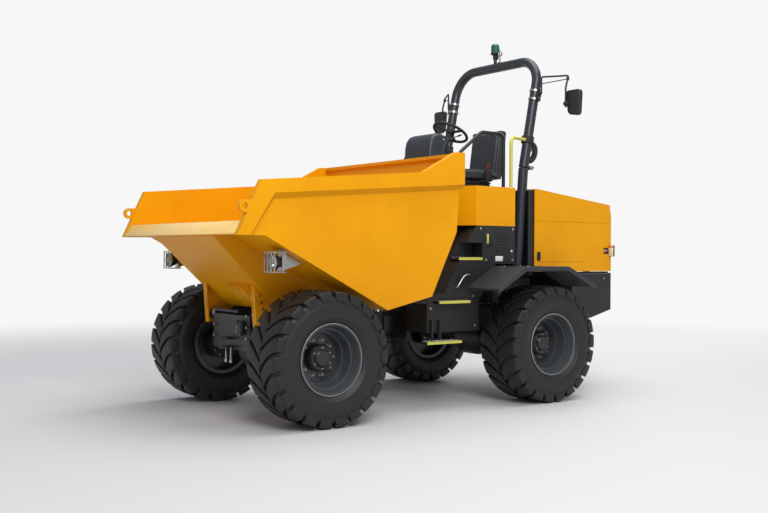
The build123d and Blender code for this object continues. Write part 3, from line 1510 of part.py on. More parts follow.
# Tail lamps: a flat pod on each flank of the cover, and a lens that stands out past its corner.
with BuildPart() as tail_lamps:
    for hand in (1, -1):
        with BuildSketch(side_plane(hand * body_width / 2)) as pod:
            with Locations((tail_x + tail_lamp_length / 2 + plate, tail_lamp_z)):
                RectangleRounded(tail_lamp_length, tail_lamp_height, plate)
        extrude(amount=-hand * tail_lamp_depth)
        wing_x = tail_x + plate + tail_lamp_wing_length / 2
        with BuildSketch(side_plane(hand * body_width / 2)) as wing:
            with Locations((wing_x, tail_lamp_z)):
                RectangleRounded(tail_lamp_wing_length, tail_lamp_wing_height, plate)
        extrude(amount=-hand * tail_lamp_wing)
save("tail_lamps", tail_lamps)
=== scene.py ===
from math import atan2, cos, pi, radians, sin

import bmesh
import bpy
from mathutils import Matrix, Vector


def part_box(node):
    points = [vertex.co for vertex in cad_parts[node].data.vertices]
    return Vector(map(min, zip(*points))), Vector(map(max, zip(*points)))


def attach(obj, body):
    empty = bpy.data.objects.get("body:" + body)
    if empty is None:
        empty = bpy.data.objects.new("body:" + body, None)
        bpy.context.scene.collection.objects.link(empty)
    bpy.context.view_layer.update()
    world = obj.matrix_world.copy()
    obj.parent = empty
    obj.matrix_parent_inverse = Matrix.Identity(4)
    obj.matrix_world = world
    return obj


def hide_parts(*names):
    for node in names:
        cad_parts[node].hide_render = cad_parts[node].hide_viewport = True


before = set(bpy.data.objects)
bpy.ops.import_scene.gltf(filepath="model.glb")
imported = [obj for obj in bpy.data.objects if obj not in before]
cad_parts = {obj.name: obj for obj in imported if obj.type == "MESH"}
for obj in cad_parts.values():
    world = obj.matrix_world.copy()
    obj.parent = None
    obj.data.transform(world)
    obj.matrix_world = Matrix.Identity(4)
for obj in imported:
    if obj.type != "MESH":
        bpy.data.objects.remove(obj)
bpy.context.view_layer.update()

# Camera: at the photograph's height and angle, off the machine's front left corner. Its place,
# turn and lens are fitted to the wheels and the skip's edges.
camera_heading, camera_pitch, camera_roll = radians(-126.67), radians(-0.26), radians(0.35)
camera_data = bpy.data.cameras.new("camera")
camera = bpy.data.objects.new("camera", camera_data)
bpy.context.collection.objects.link(camera)
bpy.context.scene.camera = camera
camera_data.lens = 47.36
camera_data.sensor_width = 36
camera.location = (6.196, 8.15, 1.474)
looking = Vector((
    cos(camera_pitch) * cos(camera_heading),
    cos(camera_pitch) * sin(camera_heading),
    sin(camera_pitch),
))
roll_turn = Matrix.Rotation(camera_roll, 3, "Z").to_quaternion()
camera.rotation_mode = "QUATERNION"
camera.rotation_quaternion = looking.to_track_quat("-Z", "Y") @ roll_turn

# Studio: a wide pale floor that runs into a pale surround, a broad soft lamp high on the left, a
# second above, a third behind on the right, and an even grey sky for fill.
def tune(node, **values):
    """Sets a shader node's inputs; an underscore in a name stands for a space."""
    for key, value in values.items():
        node.inputs[key.replace("_", " ")].default_value = value


surround_white = (0.93, 0.93, 0.93, 1)
scene = bpy.context.scene
scene.view_settings.view_transform = "Standard"
world = bpy.data.worlds.new("studio")
scene.world = world
world.use_nodes = True
sky_nodes, sky_links = world.node_tree.nodes, world.node_tree.links
sky = sky_nodes["Background"]
tune(sky, Color=(0.86, 0.92, 1.0, 1), Strength=0.45)
seen_sky = sky_nodes.new("ShaderNodeBackground")
tune(seen_sky, Color=surround_white)
ray = sky_nodes.new("ShaderNodeLightPath")
sky_mix = sky_nodes.new("ShaderNodeMixShader")
sky_links.new(ray.outputs["Is Camera Ray"], sky_mix.inputs["Fac"])
sky_links.new(sky.outputs["Background"], sky_mix.inputs[1])
sky_links.new(seen_sky.outputs["Background"], sky_mix.inputs[2])
sky_links.new(sky_mix.outputs["Shader"], sky_nodes["World Output"].inputs["Surface"])
lamp_aim = Vector((0, 0, 1.2))
for lamp_name, lamp_place, lamp_width, lamp_power in (
    ("key", (4.5, 9.0, 8.5), 6.0, 850),
    ("top", (-1.0, 1.0, 10.5), 9.0, 800),
    ("rim", (-9.0, -4.0, 6.0), 5.0, 420),
):
    lamp_data = bpy.data.lights.new(lamp_name, "AREA")
    lamp_data.shape = "DISK"
    lamp_data.size = lamp_width
    lamp_data.energy = lamp_power
    lamp = bpy.data.objects.new(lamp_name, lamp_data)
    bpy.context.collection.objects.link(lamp)
    lamp.location = lamp_place
    lamp.rotation_mode = "QUATERNION"
    lamp.rotation_quaternion = (lamp_aim - Vector(lamp_place)).to_track_quat("-Z", "Y")

floor_radius, fade_start, fade_end = 90, 4.0, 13.0
floor_mesh = bpy.data.meshes.new("floor")
floor_form = bmesh.new()
bmesh.ops.create_circle(floor_form, cap_ends=True, segments=96, radius=floor_radius)
floor_form.to_mesh(floor_mesh)
floor_form.free()
floor = bpy.data.objects.new("floor", floor_mesh)
bpy.context.collection.objects.link(floor)
floor_finish = bpy.data.materials.new("pale_floor")
floor_finish.use_nodes = True
floor_nodes, floor_links = floor_finish.node_tree.nodes, floor_finish.node_tree.links
floor_shader = floor_nodes["Principled BSDF"]
tune(floor_shader, Base_Color=(0.55, 0.55, 0.55, 1), Roughness=0.9)
far_glow = floor_nodes.new("ShaderNodeEmission")
tune(far_glow, Color=surround_white)
floor_place = floor_nodes.new("ShaderNodeTexCoord")
floor_reach = floor_nodes.new("ShaderNodeVectorMath")
floor_reach.operation = "LENGTH"
floor_fade = floor_nodes.new("ShaderNodeMapRange")
floor_fade.interpolation_type = "SMOOTHSTEP"
tune(floor_fade, From_Min=fade_start, From_Max=fade_end)
floor_mix = floor_nodes.new("ShaderNodeMixShader")
floor_links.new(floor_place.outputs["Object"], floor_reach.inputs[0])
floor_links.new(floor_reach.outputs["Value"], floor_fade.inputs["Value"])
floor_links.new(floor_fade.outputs["Result"], floor_mix.inputs["Fac"])
floor_links.new(floor_shader.outputs["BSDF"], floor_mix.inputs[1])
floor_links.new(far_glow.outputs["Emission"], floor_mix.inputs[2])
floor_links.new(floor_mix.outputs["Shader"], floor_nodes["Material Output"].inputs["Surface"])
floor_mesh.materials.append(floor_finish)


# Skip shell: welded steel plate in warm orange-yellow machine paint, as on its brackets, the
# surround and the engine cover. The coat shows faint orange peel, drifts of tone and some dust.
def worked_finish(
    name, tone, deep, rough, peel=0.02, peel_scale=260, dust=0.0, metal=0.0, edge=0.003,
):
    """A finish with drifting tone, uneven gloss, fine relief, rounded edges and dust low down."""
    dust_top, dust_foot, dust_colour = 1.3, 0.1, (0.21, 0.17, 0.12, 1)
    finish = bpy.data.materials.new(name)
    finish.use_nodes = True
    nodes, links = finish.node_tree.nodes, finish.node_tree.links
    shader = nodes["Principled BSDF"]
    place = nodes.new("ShaderNodeTexCoord")
    cloud, specks, grain = (nodes.new("ShaderNodeTexNoise") for _ in range(3))
    tune(cloud, Scale=1.6, Detail=5, Roughness=0.6)
    tune(specks, Scale=34, Detail=8, Roughness=0.7)
    tune(grain, Scale=peel_scale, Detail=3)
    for noise in (cloud, specks, grain):
        links.new(place.outputs["Object"], noise.inputs["Vector"])
    tones = nodes.new("ShaderNodeValToRGB")
    for stop, (position, colour) in zip(tones.color_ramp.elements, ((0.3, deep), (0.7, tone))):
        stop.position, stop.color = position, (*colour, 1)
    links.new(cloud.outputs["Fac"], tones.inputs["Fac"])
    height = nodes.new("ShaderNodeSeparateXYZ")
    links.new(place.outputs["Object"], height.inputs["Vector"])
    low_down = nodes.new("ShaderNodeMapRange")
    tune(low_down, From_Min=dust_top, From_Max=dust_foot, To_Max=dust)
    links.new(height.outputs["Z"], low_down.inputs["Value"])
    dusty = nodes.new("ShaderNodeMath")
    dusty.operation = "MULTIPLY"
    links.new(low_down.outputs["Result"], dusty.inputs[0])
    links.new(specks.outputs["Fac"], dusty.inputs[1])
    dust_mix = nodes.new("ShaderNodeMix")
    dust_mix.data_type = "RGBA"
    tune(dust_mix, B=dust_colour)
    links.new(dusty.outputs["Value"], dust_mix.inputs["Factor"])
    links.new(tones.outputs["Color"], dust_mix.inputs["A"])
    links.new(dust_mix.outputs["Result"], shader.inputs["Base Color"])
    gloss = nodes.new("ShaderNodeMapRange")
    tune(gloss, To_Min=rough * 0.8, To_Max=min(1.0, rough * 1.25))
    links.new(specks.outputs["Fac"], gloss.inputs["Value"])
    links.new(gloss.outputs["Result"], shader.inputs["Roughness"])
    tune(shader, Metallic=metal)
    relief = nodes.new("ShaderNodeBump")
    tune(relief, Strength=peel * 5, Distance=0.002)
    links.new(grain.outputs["Fac"], relief.inputs["Height"])
    if edge:
        softened = nodes.new("ShaderNodeBevel")
        softened.samples = 4
        tune(softened, Radius=edge)
        links.new(softened.outputs["Normal"], relief.inputs["Normal"])
    links.new(relief.outputs["Normal"], shader.inputs["Normal"])
    return finish


def dress(finish, *nodes):
    """CAD pieces take a finish in each of their material slots."""
    for node in nodes:
        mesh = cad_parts[node].data
        if not mesh.materials:
            mesh.materials.append(finish)
        for index in range(len(mesh.materials)):
            mesh.materials[index] = finish


skip_paint = worked_finish(
    "skip_paint", (0.80, 0.345, 0.002), (0.72, 0.29, 0.0015), 0.36, dust=0.05,
)
tune(skip_paint.node_tree.nodes["Principled BSDF"], Specular_IOR_Level=0.14)
dress(skip_paint, "skip_shell", "skip_brackets", "engine_cover", "surround")


# Tyres: black rubber with wide curved bars that lean from the middle and run down over the
# shoulders, deep grooves between them, and ringed sidewalls. Each is mounted on its rim.
def make_piece(name, form, finish, body, crease=35):
    """Closes a finished form, gives it a finish, and sets it on its body."""
    bmesh.ops.remove_doubles(form, verts=form.verts, dist=0.00001)
    bmesh.ops.recalc_face_normals(form, faces=form.faces)
    for face in form.faces:
        face.smooth = True
    mesh = bpy.data.meshes.new(name)
    form.to_mesh(mesh)
    form.free()
    mesh.set_sharp_from_angle(angle=radians(crease))
    mesh.materials.append(finish)
    piece = bpy.data.objects.new(name, mesh)
    bpy.context.collection.objects.link(piece)
    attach(piece, body)
    return piece


def add_turned(form, profile, centre, axis, segments=48):
    """A profile of distance along an axis and radius, turned about it."""
    centre, axis = Vector(centre), Vector(axis).normalized()
    across = axis.orthogonal().normalized()
    points = [form.verts.new(centre + axis * along + across * radius) for along, radius in profile]
    rims = [form.edges.new(pair) for pair in zip(points, points[1:])]
    bmesh.ops.spin(
        form, geom=points + rims, cent=centre, axis=axis, angle=2 * pi, steps=segments,
        use_merge=True,
    )


def soften(form, edges, offset, segments=2, clamp=False):
    """Rounds edges of a form, listed in the same order on each run."""
    bmesh.ops.bevel(
        form, geom=list(edges), offset=offset, segments=segments, affect="EDGES", profile=0.5,
        material=-1, clamp_overlap=clamp,
    )


def wheel_middle(wheel_key):
    """The middle of a wheel, from its rim's box."""
    rim_low, rim_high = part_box("rim_" + wheel_key)
    return (rim_low + rim_high) / 2


rubber = worked_finish(
    "rubber", (0.0055, 0.0055, 0.0055), (0.010, 0.0098, 0.0095), 0.5, peel=0.1, peel_scale=120,
    dust=0.05,
)
wheel_keys = ("front_left", "front_right", "rear_left", "rear_right")
tyre_radius, lug_pairs, lug_depth, lug_edge = 0.575, 22, 0.034, 0.0045
tread_share = 0.8  # of a lug's length, before it bends down over the shoulder
casing_profile = (
    # distance from the tyre's middle, radius
    (-0.194, 0.2866), (-0.194, 0.306), (-0.206, 0.314), (-0.222, 0.332), (-0.226, 0.345),
    (-0.232, 0.349), (-0.238, 0.372), (-0.243, 0.41), (-0.2438, 0.43), (-0.2405, 0.462),
    (-0.2385, 0.466), (-0.234, 0.497), (-0.222, 0.522), (-0.195, 0.536), (-0.13, 0.549), (0, 0.552),
)
casing_profile += tuple((-along, radius) for along, radius in reversed(casing_profile[:-1]))


def curl_lug(spot, side):
    """A flat grid's corner, -1 to 1 along and across, moved onto the tread and the shoulder."""
    reach = (spot.x + 1) / 2
    flat, over = min(reach / tread_share, 1), max(reach - tread_share, 0) / (1 - tread_share)
    out = 0.008 + 0.225 * flat + 0.010 * over ** 0.6
    along = 0.15 * (0.5 - (1 - flat) ** 1.7) + 0.012 * over
    half_width = 0.057 + 0.010 * reach - 0.010 * over
    radius = tyre_radius - 0.007 * flat ** 2 - 0.078 * over
    turn = (half_width * spot.y - along) / tyre_radius
    return Vector((radius * sin(turn), side * out, radius * cos(turn)))


for wheel_key in wheel_keys:
    form = bmesh.new()
    add_turned(form, casing_profile, (0, 0, 0), (0, 1, 0), 88)
    for side in (1, -1):
        lug = bmesh.new()
        bmesh.ops.create_grid(lug, x_segments=11, y_segments=3, size=1)
        for spot in lug.verts:
            spot.co = curl_lug(spot.co, side)
        bmesh.ops.recalc_face_normals(lug, faces=lug.faces)
        if sum(face.normal.dot(face.calc_center_median()) for face in lug.faces) < 0:
            bmesh.ops.reverse_faces(lug, faces=lug.faces)
        bmesh.ops.solidify(lug, geom=list(lug.faces), thickness=lug_depth)
        bmesh.ops.recalc_face_normals(lug, faces=lug.faces)
        rims = [e for e in lug.edges if len(e.link_faces) == 2 and e.calc_face_angle() > 0.9]
        soften(lug, rims, lug_edge)
        lug_mesh = bpy.data.meshes.new("lug")
        lug.to_mesh(lug_mesh)
        lug.free()
        for index in range(lug_pairs):
            turn = 2 * pi * (index + (0.5 if side < 0 else 0)) / lug_pairs
            before = len(form.verts)
            form.from_mesh(lug_mesh)
            form.verts.ensure_lookup_table()
            lug_turn = Matrix.Rotation(turn, 3, "Y")
            bmesh.ops.rotate(form, cent=(0, 0, 0), matrix=lug_turn, verts=form.verts[before:])
        bpy.data.meshes.remove(lug_mesh)
    bmesh.ops.translate(form, vec=wheel_middle(wheel_key), verts=form.verts)
    tyre = make_piece(
        "tyre_tread_" + wheel_key, form, rubber, "wheel_" + wheel_key, crease=40,
    )
    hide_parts("tyre_" + wheel_key)


# Rims: pressed steel in dark satin blue-grey, with a ring of plated wheel nuts on studs through
# each disc, a black cast hub, its cap held by six small bolts, and a bright worn edge.
def add_round(form, start, end, radius, end_radius=None, segments=24, edge=0.0):
    """A round bar, cone or disc between two points, with rounded rims where asked."""
    start, end = Vector(start), Vector(end)
    run = end - start
    turn = run.to_track_quat("Z", "Y").to_matrix().to_4x4()
    made = bmesh.ops.create_cone(
        form, cap_ends=True, segments=segments, radius1=radius,
        radius2=radius if end_radius is None else end_radius, depth=run.length,
        matrix=Matrix.Translation((start + end) / 2) @ turn,
    )
    if edge:
        rims = dict.fromkeys(
            e for v in made["verts"] for e in v.link_edges
            if any(len(face.verts) > 4 for face in e.link_faces)
        )
        soften(form, rims, edge)


def add_bolt(form, spot, run, radius, sides=6, edge=0.001):
    """A bolt's head, a washer or a stud that stands off a surface by a run."""
    add_round(form, spot, Vector(spot) + Vector(run), radius, segments=sides, edge=edge)


def round_about(count, radius, shift=0.0):
    """Even places on a circle, as pairs of distances."""
    turns = [2 * pi * (index + shift) / count for index in range(count)]
    return [(radius * cos(turn), radius * sin(turn)) for turn in turns]


black_paint = worked_finish(
    "chassis_black", (0.008, 0.008, 0.009), (0.014, 0.014, 0.015), 0.38, dust=0.16,
)
rim_paint = worked_finish("rim_paint", (0.055, 0.062, 0.07), (0.038, 0.044, 0.052), 0.3, dust=0.1)
zinc = worked_finish(
    "zinc_plate", (0.5, 0.5, 0.47), (0.36, 0.36, 0.34), 0.3, metal=1.0, peel=0.03, dust=0.2,
)
disc_inset, cap_depth, edge_out = 0.044, 0.095, 0.2055
nut_circle, cap_circle = 0.155, 0.088
hub_profile = (
    (0, 0.115), (0, 0.1165), (0.08, 0.1165), (0.096, 0.1035), (0.097, 0.0768), (0.113, 0.0765),
    (0.1258, 0.063), (0.1258, 0),
)
edge_profile = ((0, 0.2995), (0, 0.3052), (0.001, 0.3064), (0.0022, 0.3052), (0.0022, 0.2995))
for wheel_key in wheel_keys:
    dress(rim_paint, "rim_" + wheel_key)
    wheel_x, wheel_y, wheel_z = wheel_middle(wheel_key)
    out = 1 if wheel_y > 0 else -1
    disc_y = wheel_y - out * disc_inset
    hub, edge, form = bmesh.new(), bmesh.new(), bmesh.new()
    add_turned(hub, hub_profile, (wheel_x, disc_y, wheel_z), (0, out, 0), 64)
    make_piece("hub_" + wheel_key, hub, black_paint, "wheel_" + wheel_key)
    add_turned(edge, edge_profile, (wheel_x, wheel_y + out * edge_out, wheel_z), (0, out, 0), 96)
    make_piece("rim_edge_" + wheel_key, edge, zinc, "wheel_" + wheel_key)
    for across, up in round_about(10, nut_circle):
        spot = (wheel_x + across, disc_y, wheel_z + up)
        add_bolt(form, spot, (0, out * 0.006, 0), 0.021, 24)
        add_bolt(form, spot, (0, out * 0.028, 0), 0.0165, 6, 0.0015)
        add_bolt(form, spot, (0, out * 0.042, 0), 0.01, 16, 0.0015)
    for across, up in round_about(6, cap_circle, 0.5):
        spot = (wheel_x + across, disc_y + out * cap_depth, wheel_z + up)
        add_bolt(form, spot, (0, out * 0.01, 0), 0.009)
    make_piece("wheel_nuts_" + wheel_key, form, zinc, "wheel_" + wheel_key)

# Chassis, axles and rams: welded steel in satin black, chromed rods, and plated bolts round the
# axles' end drives. The axles are bolted to the frames' rails.
dress(
    black_paint, "front_chassis", "rear_chassis", "front_axle", "rear_axle", "tip_barrels",
    "steer_barrel_left", "steer_barrel_right", "hoop_mount", "seat_rails", "deck",
)
chrome = worked_finish("chrome", (0.75, 0.75, 0.76), (0.66, 0.66, 0.68), 0.1, metal=1.0)
dress(chrome, "tip_rods", "steer_rod_left", "steer_rod_right")
axle_z, drive_y, drive_circle = 0.575, 0.722, 0.128
for axle_body, axle_x in (("front_frame", 1.529), ("rear_frame", -1.086)):
    form = bmesh.new()
    for hand in (1, -1):
        for across, up in round_about(12, drive_circle):
            spot = (axle_x + across, hand * drive_y, axle_z + up)
            add_bolt(form, spot, (0, -hand * 0.016, 0), 0.010)
    make_piece("axle_bolts_" + axle_body, form, zinc, axle_body)


# Housings: moulded dark grey plastic over the towers, fenders and counterweight, with screws in
# washers, rubber seals below the engine cover, and raised louvres on each tower.
def add_block(form, centre, size, edge=0.002, turn=None):
    """A block with rounded edges."""
    place = Matrix.Translation(centre) @ (turn or Matrix()) @ Matrix.Diagonal((*size, 1))
    block = bmesh.ops.create_cube(form, size=1, matrix=place)
    if edge:
        soften(form, dict.fromkeys(e for v in block["verts"] for e in v.link_edges), edge)


panel_grey = worked_finish(
    "panel_grey", (0.0095, 0.0095, 0.0095), (0.013, 0.0128, 0.0125), 0.48, peel=0.05,
    peel_scale=420, dust=0.08,
)
dress(panel_grey, "towers", "counterweight", "seat_base", "steps")
fender_grey = worked_finish(
    "fender_grey", (0.02, 0.023, 0.027), (0.027, 0.03, 0.035), 0.42, peel=0.05, peel_scale=420,
    dust=0.1,
)
dress(fender_grey, "fenders")
dark_rubber = worked_finish(
    "dark_rubber", (0.01, 0.01, 0.01), (0.016, 0.016, 0.016), 0.7, peel=0.06, peel_scale=300,
)
hi_vis = worked_finish("hi_vis", (0.60, 0.56, 0.09), (0.54, 0.50, 0.08), 0.42, dust=0.1)
dress(hi_vis, "step_edges", "grab_rails")
flank_y, fender_z, ledge_x = 0.75, 1.34, -2.105
tower_screws = (
    (-0.5, 1.71), (-0.93, 1.71), (-0.93, 1.40), (-0.57, 1.40), (-0.4, 1.05), (0.13, 0.94),
    (0.13, 0.76), (-0.43, 0.76),
)
screws, seals, strips, louvres = (bmesh.new() for _ in range(4))
for hand in (1, -1):
    for spot_x, spot_z in tower_screws:
        spot = (spot_x, hand * flank_y, spot_z)
        add_bolt(screws, spot, (0, hand * 0.002, 0), 0.013, 24, 0.0008)
        add_bolt(screws, spot, (0, hand * 0.006, 0), 0.008)
    for spot_x in (-0.75, -0.97, -1.19):
        for spot_y in (0.82, 1.15):
            spot = (spot_x, hand * spot_y, fender_z)
            add_bolt(screws, spot, (0, 0, 0.002), 0.014, 24, 0.0008)
            add_bolt(screws, spot, (0, 0, 0.007), 0.009)
    for spot_x in (-2.3, -1.95):
        add_bolt(screws, (spot_x, hand * flank_y, 1.2), (0, hand * 0.006, 0), 0.012)
    add_block(seals, (ledge_x, hand * 0.722, 1.269), (0.56, 0.03, 0.013), 0.003)
    add_block(strips, (ledge_x, hand * 0.7505, 1.2545), (0.58, 0.002, 0.011), 0.0005)
    for index in range(6):
        louvre_place = (-0.79, hand * 0.7515, 1.5 + 0.03 * index)
        add_block(louvres, louvre_place, (0.16, 0.008, 0.014), 0.0025)
make_piece("panel_screws", screws, zinc, "rear_frame")
make_piece("cover_seals", seals, dark_rubber, "rear_frame")
make_piece("ledge_strips", strips, rim_paint, "rear_frame")
make_piece("tower_louvres", louvres, panel_grey, "rear_frame")

# Step treads: rows of raised grip buttons in plated steel, pressed out of the treads of the three
# steps on each side.
form = bmesh.new()
for hand in (1, -1):
    for rear_x, front_x, inner_y, outer_y, top_z in (
        (-0.51, -0.225, 0.615, 0.74, 1.425), (-0.285, 0.084, 0.76, 0.82, 1.012),
        (-0.117, 0.283, 0.79, 0.89, 0.64),
    ):
        columns, rows = round((front_x - rear_x) / 0.03), round((outer_y - inner_y) / 0.028)
        for column in range(columns):
            for row in range(rows):
                spot = Vector((
                    rear_x + (front_x - rear_x) * (column + 0.5) / columns,
                    hand * (inner_y + (outer_y - inner_y) * (row + 0.5) / rows),
                    top_z,
                ))
                add_round(form, spot, spot + Vector((0, 0, 0.004)), 0.008, 0.006, segments=10)
make_piece("tread_buttons", form, zinc, "rear_frame")


# Tower fittings: a grab handle of bent rod by the upper step, a paddle latch in a dark plate with
# a bright tab, and a blank white plate, on each side of the machine.
def bent_tube(name, points, radius, finish, body):
    """A smoothly bent tube or wire along a few points."""
    curve = bpy.data.curves.new(name, "CURVE")
    curve.dimensions = "3D"
    curve.bevel_depth = radius
    curve.bevel_resolution = 4
    curve.use_fill_caps = True
    route = curve.splines.new("NURBS")
    route.points.add(len(points) - 1)
    for node, point in zip(route.points, points):
        node.co = (*point, 1)
    route.order_u = 3
    route.use_endpoint_u = True
    route.resolution_u = 12
    curve.materials.append(finish)
    piece = bpy.data.objects.new(name, curve)
    bpy.context.collection.objects.link(piece)
    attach(piece, body)
    return piece


blank_white = worked_finish("blank_white", (0.75, 0.76, 0.76), (0.68, 0.69, 0.69), 0.4, edge=0)
form, tabs, plates = bmesh.new(), bmesh.new(), bmesh.new()
for hand, side_name in ((1, "left"), (-1, "right")):
    bent_tube(
        "grab_handle_" + side_name,
        [(-0.16, hand * 0.748, 1.13), (-0.158, hand * 0.79, 1.13), (-0.20, hand * 0.797, 1.19),
         (-0.25, hand * 0.797, 1.255), (-0.34, hand * 0.79, 1.26), (-0.35, hand * 0.748, 1.26)],
        0.009, zinc, "rear_frame",
    )
    add_block(form, (-0.60, hand * 0.751, 1.625), (0.13, 0.010, 0.2), 0.004)
    add_block(form, (-0.63, hand * 0.758, 1.61), (0.045, 0.016, 0.12), 0.006)
    add_block(tabs, (-0.585, hand * 0.757, 1.61), (0.024, 0.012, 0.095), 0.003)
    add_block(plates, (-0.745, hand * 0.7515, 1.414), (0.1, 0.003, 0.05), 0.001)
    add_bolt(plates, (-0.915, hand * flank_y, 1.49), (0, hand * 0.004, 0), 0.012, 24, 0.0015)
make_piece("tower_latches", form, dark_rubber, "rear_frame")
make_piece("latch_tabs", tabs, hi_vis, "rear_frame")
make_piece("blank_plates", plates, blank_white, "rear_frame")

# Engine: a cast block with its head, covers, filters and manifold on the rear rails, and a
# finned radiator with its shroud on the counterweight, behind the grille.
engine_grey = worked_finish(
    "engine_grey", (0.09, 0.095, 0.1), (0.06, 0.063, 0.068), 0.5, peel=0.08, peel_scale=90,
    dust=0.1,
)
engine_x, radiator_x = -1.521, -2.28
form = bmesh.new()
for stage_z, stage_size, stage_edge in (
    (1.06, (0.37, 0.46, 0.3), 0.02), (1.31, (0.35, 0.36, 0.24), 0.018),
    (1.49, (0.36, 0.3, 0.12), 0.014), (1.595, (0.33, 0.2, 0.1), 0.03),
):
    add_block(form, (engine_x, 0, stage_z), stage_size, stage_edge)
for index in range(4):
    port_x = -1.65 + 0.085 * index
    add_round(form, (port_x, 0.2, 1.47), (port_x, 0.27, 1.47), 0.026, edge=0.004)
    add_round(form, (port_x, 0, 1.64), (port_x, 0, 1.668), 0.018, segments=6, edge=0.003)
add_round(form, (-1.68, 0.27, 1.47), (-1.36, 0.27, 1.47), 0.036, edge=0.008)
add_round(form, (-1.68, -0.24, 1.62), (-1.36, -0.24, 1.62), 0.09, edge=0.015)
for filter_x, filter_z in ((-1.45, 1.2), (-1.6, 1.12)):
    add_round(form, (filter_x, -0.22, filter_z), (filter_x, -0.32, filter_z), 0.05, edge=0.01)
for hand in (1, -1):
    add_block(form, (engine_x, hand * 0.27, 0.935), (0.12, 0.12, 0.06), 0.01)
engine = make_piece("engine_unit", form, engine_grey, "rear_frame")
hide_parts("engine_block")
form = bmesh.new()
add_block(form, (radiator_x, 0, 1.6), (0.05, 1.0, 0.62), 0.008)
for index in range(30):
    add_block(form, (-2.309, 0, 1.32 + 0.019 * index), (0.012, 0.94, 0.004), 0)
for hand in (1, -1):
    add_block(form, (radiator_x, hand * 0.52, 1.585), (0.07, 0.05, 0.645), 0.008)
add_round(form, (-2.255, 0, 1.6), (-2.2, 0, 1.6), 0.27, 0.24, segments=40, edge=0.006)
make_piece("radiator", form, black_paint, "rear_frame")

# Engine cover fittings: a paddle lock with its round key barrel on each flank, and black screws
# beside the radiator's grille. They ride the cover.
form = bmesh.new()
for hand in (1, -1):
    add_block(form, (-1.3, hand * 0.752, 1.44), (0.05, 0.012, 0.09), 0.005)
    add_bolt(form, (-1.3, hand * 0.756, 1.46), (0, hand * 0.007, 0), 0.014, 24, 0.002)
    for spot_z in (1.42, 1.64, 1.86):
        add_bolt(form, (-2.415, hand * 0.56, spot_z), (-0.004, 0, 0), 0.008)
make_piece("cover_locks", form, dark_rubber, "engine_cover")

# Skip fittings: a strip welded along the pouring lip in paler paint, which is a painted highlight
# of the lip's lit top, black rubber plugs, bolt heads and grease nipples on the brackets' pins, and
# two steel pipes with a bolted lid at the hose box.
# The strip's paler colour is a painted highlight: the lip's top is made lighter as if lit.
lip_highlight_paint = worked_finish("lip_highlight_paint", (0.95, 0.66, 0.26), (0.90, 0.58, 0.17), 0.28)
form = bmesh.new()
lip_turn = Matrix.Rotation(-atan2(0.12, -0.087), 4, "Y")
add_block(form, (2.3752, 0, 1.662), (0.132, 2.19, 0.004), 0.0012, lip_turn)
make_piece("lip_strip", form, lip_highlight_paint, "skip")
form, plugs = bmesh.new(), bmesh.new()
for hand in (1, -1):
    for plug_x, plug_z in ((1.63, 1.03), (1.45, 1.12)):
        side_y = 0.513 + 0.07 * (plug_z - 0.965) / 0.635  # the hopper's leaning flank
        plug_start = (plug_x, hand * (side_y - 0.003), plug_z)
        plug_end = (plug_x, hand * (side_y + 0.006), plug_z)
        add_round(plugs, plug_start, plug_end, 0.02, 0.017, edge=0.003)
    pin = (1.779, hand * 0.495, 0.88)
    add_bolt(form, pin, (0, hand * 0.01, 0), 0.044, 24, 0.002)
    add_bolt(form, pin, (0, hand * 0.022, 0), 0.02, 6, 0.002)
    add_bolt(form, pin, (0, hand * 0.036, 0), 0.005, 24)
    for along in (0.2, 0.5, 0.8):
        spot = (1.79 + 0.055 * along, hand * 0.485, 0.93 + 0.2 * along)
        add_bolt(form, spot, (0, hand * 0.008, 0), 0.012)
make_piece("skip_plugs", plugs, dark_rubber, "skip")
make_piece("skip_pin_caps", form, zinc, "skip")
for pipe, pipe_y in (("inner", 0.21), ("outer", 0.3)):
    bent_tube(
        "hose_pipe_" + pipe,
        [(1.752, pipe_y, 1.012), (1.742, pipe_y, 0.992), (1.70, pipe_y, 0.952),
         (1.60, pipe_y, 0.952), (1.42, pipe_y, 0.954)],
        0.007, zinc, "skip",
    )
form = bmesh.new()
add_block(
    form, (1.8577, 0.25, 1.0671), (0.2, 0.26, 0.004), 0.0015, Matrix.Rotation(-0.7637, 4, "Y"),
)
hopper_run, hopper_out = Vector((0.7223, 0, 0.6916)), Vector((0.6916, 0, -0.7223))
for along in (-0.11, 0.11):
    for across in (-0.145, 0.145):
        spot = Vector((1.855, 0.25 + across, 1.0695)) + along * hopper_run
        add_bolt(form, spot, 0.006 * hopper_out, 0.008)
make_piece("hose_box_lid", form, skip_paint, "skip")


# Headlamps: a black housing, a bright reflector bowl and a clear moulded glass held by a plated
# rim, in zinc-plated wire cages on a three-cornered plate bolted under each wing.
def pull_plate(form, outline, pull):
    """A flat outline pulled into a plate."""
    plate = form.faces.new([form.verts.new(corner) for corner in outline])
    pulled = bmesh.ops.extrude_face_region(form, geom=[plate])["geom"]
    far_corners = [v for v in pulled if isinstance(v, bmesh.types.BMVert)]
    bmesh.ops.translate(form, vec=pull, verts=far_corners)


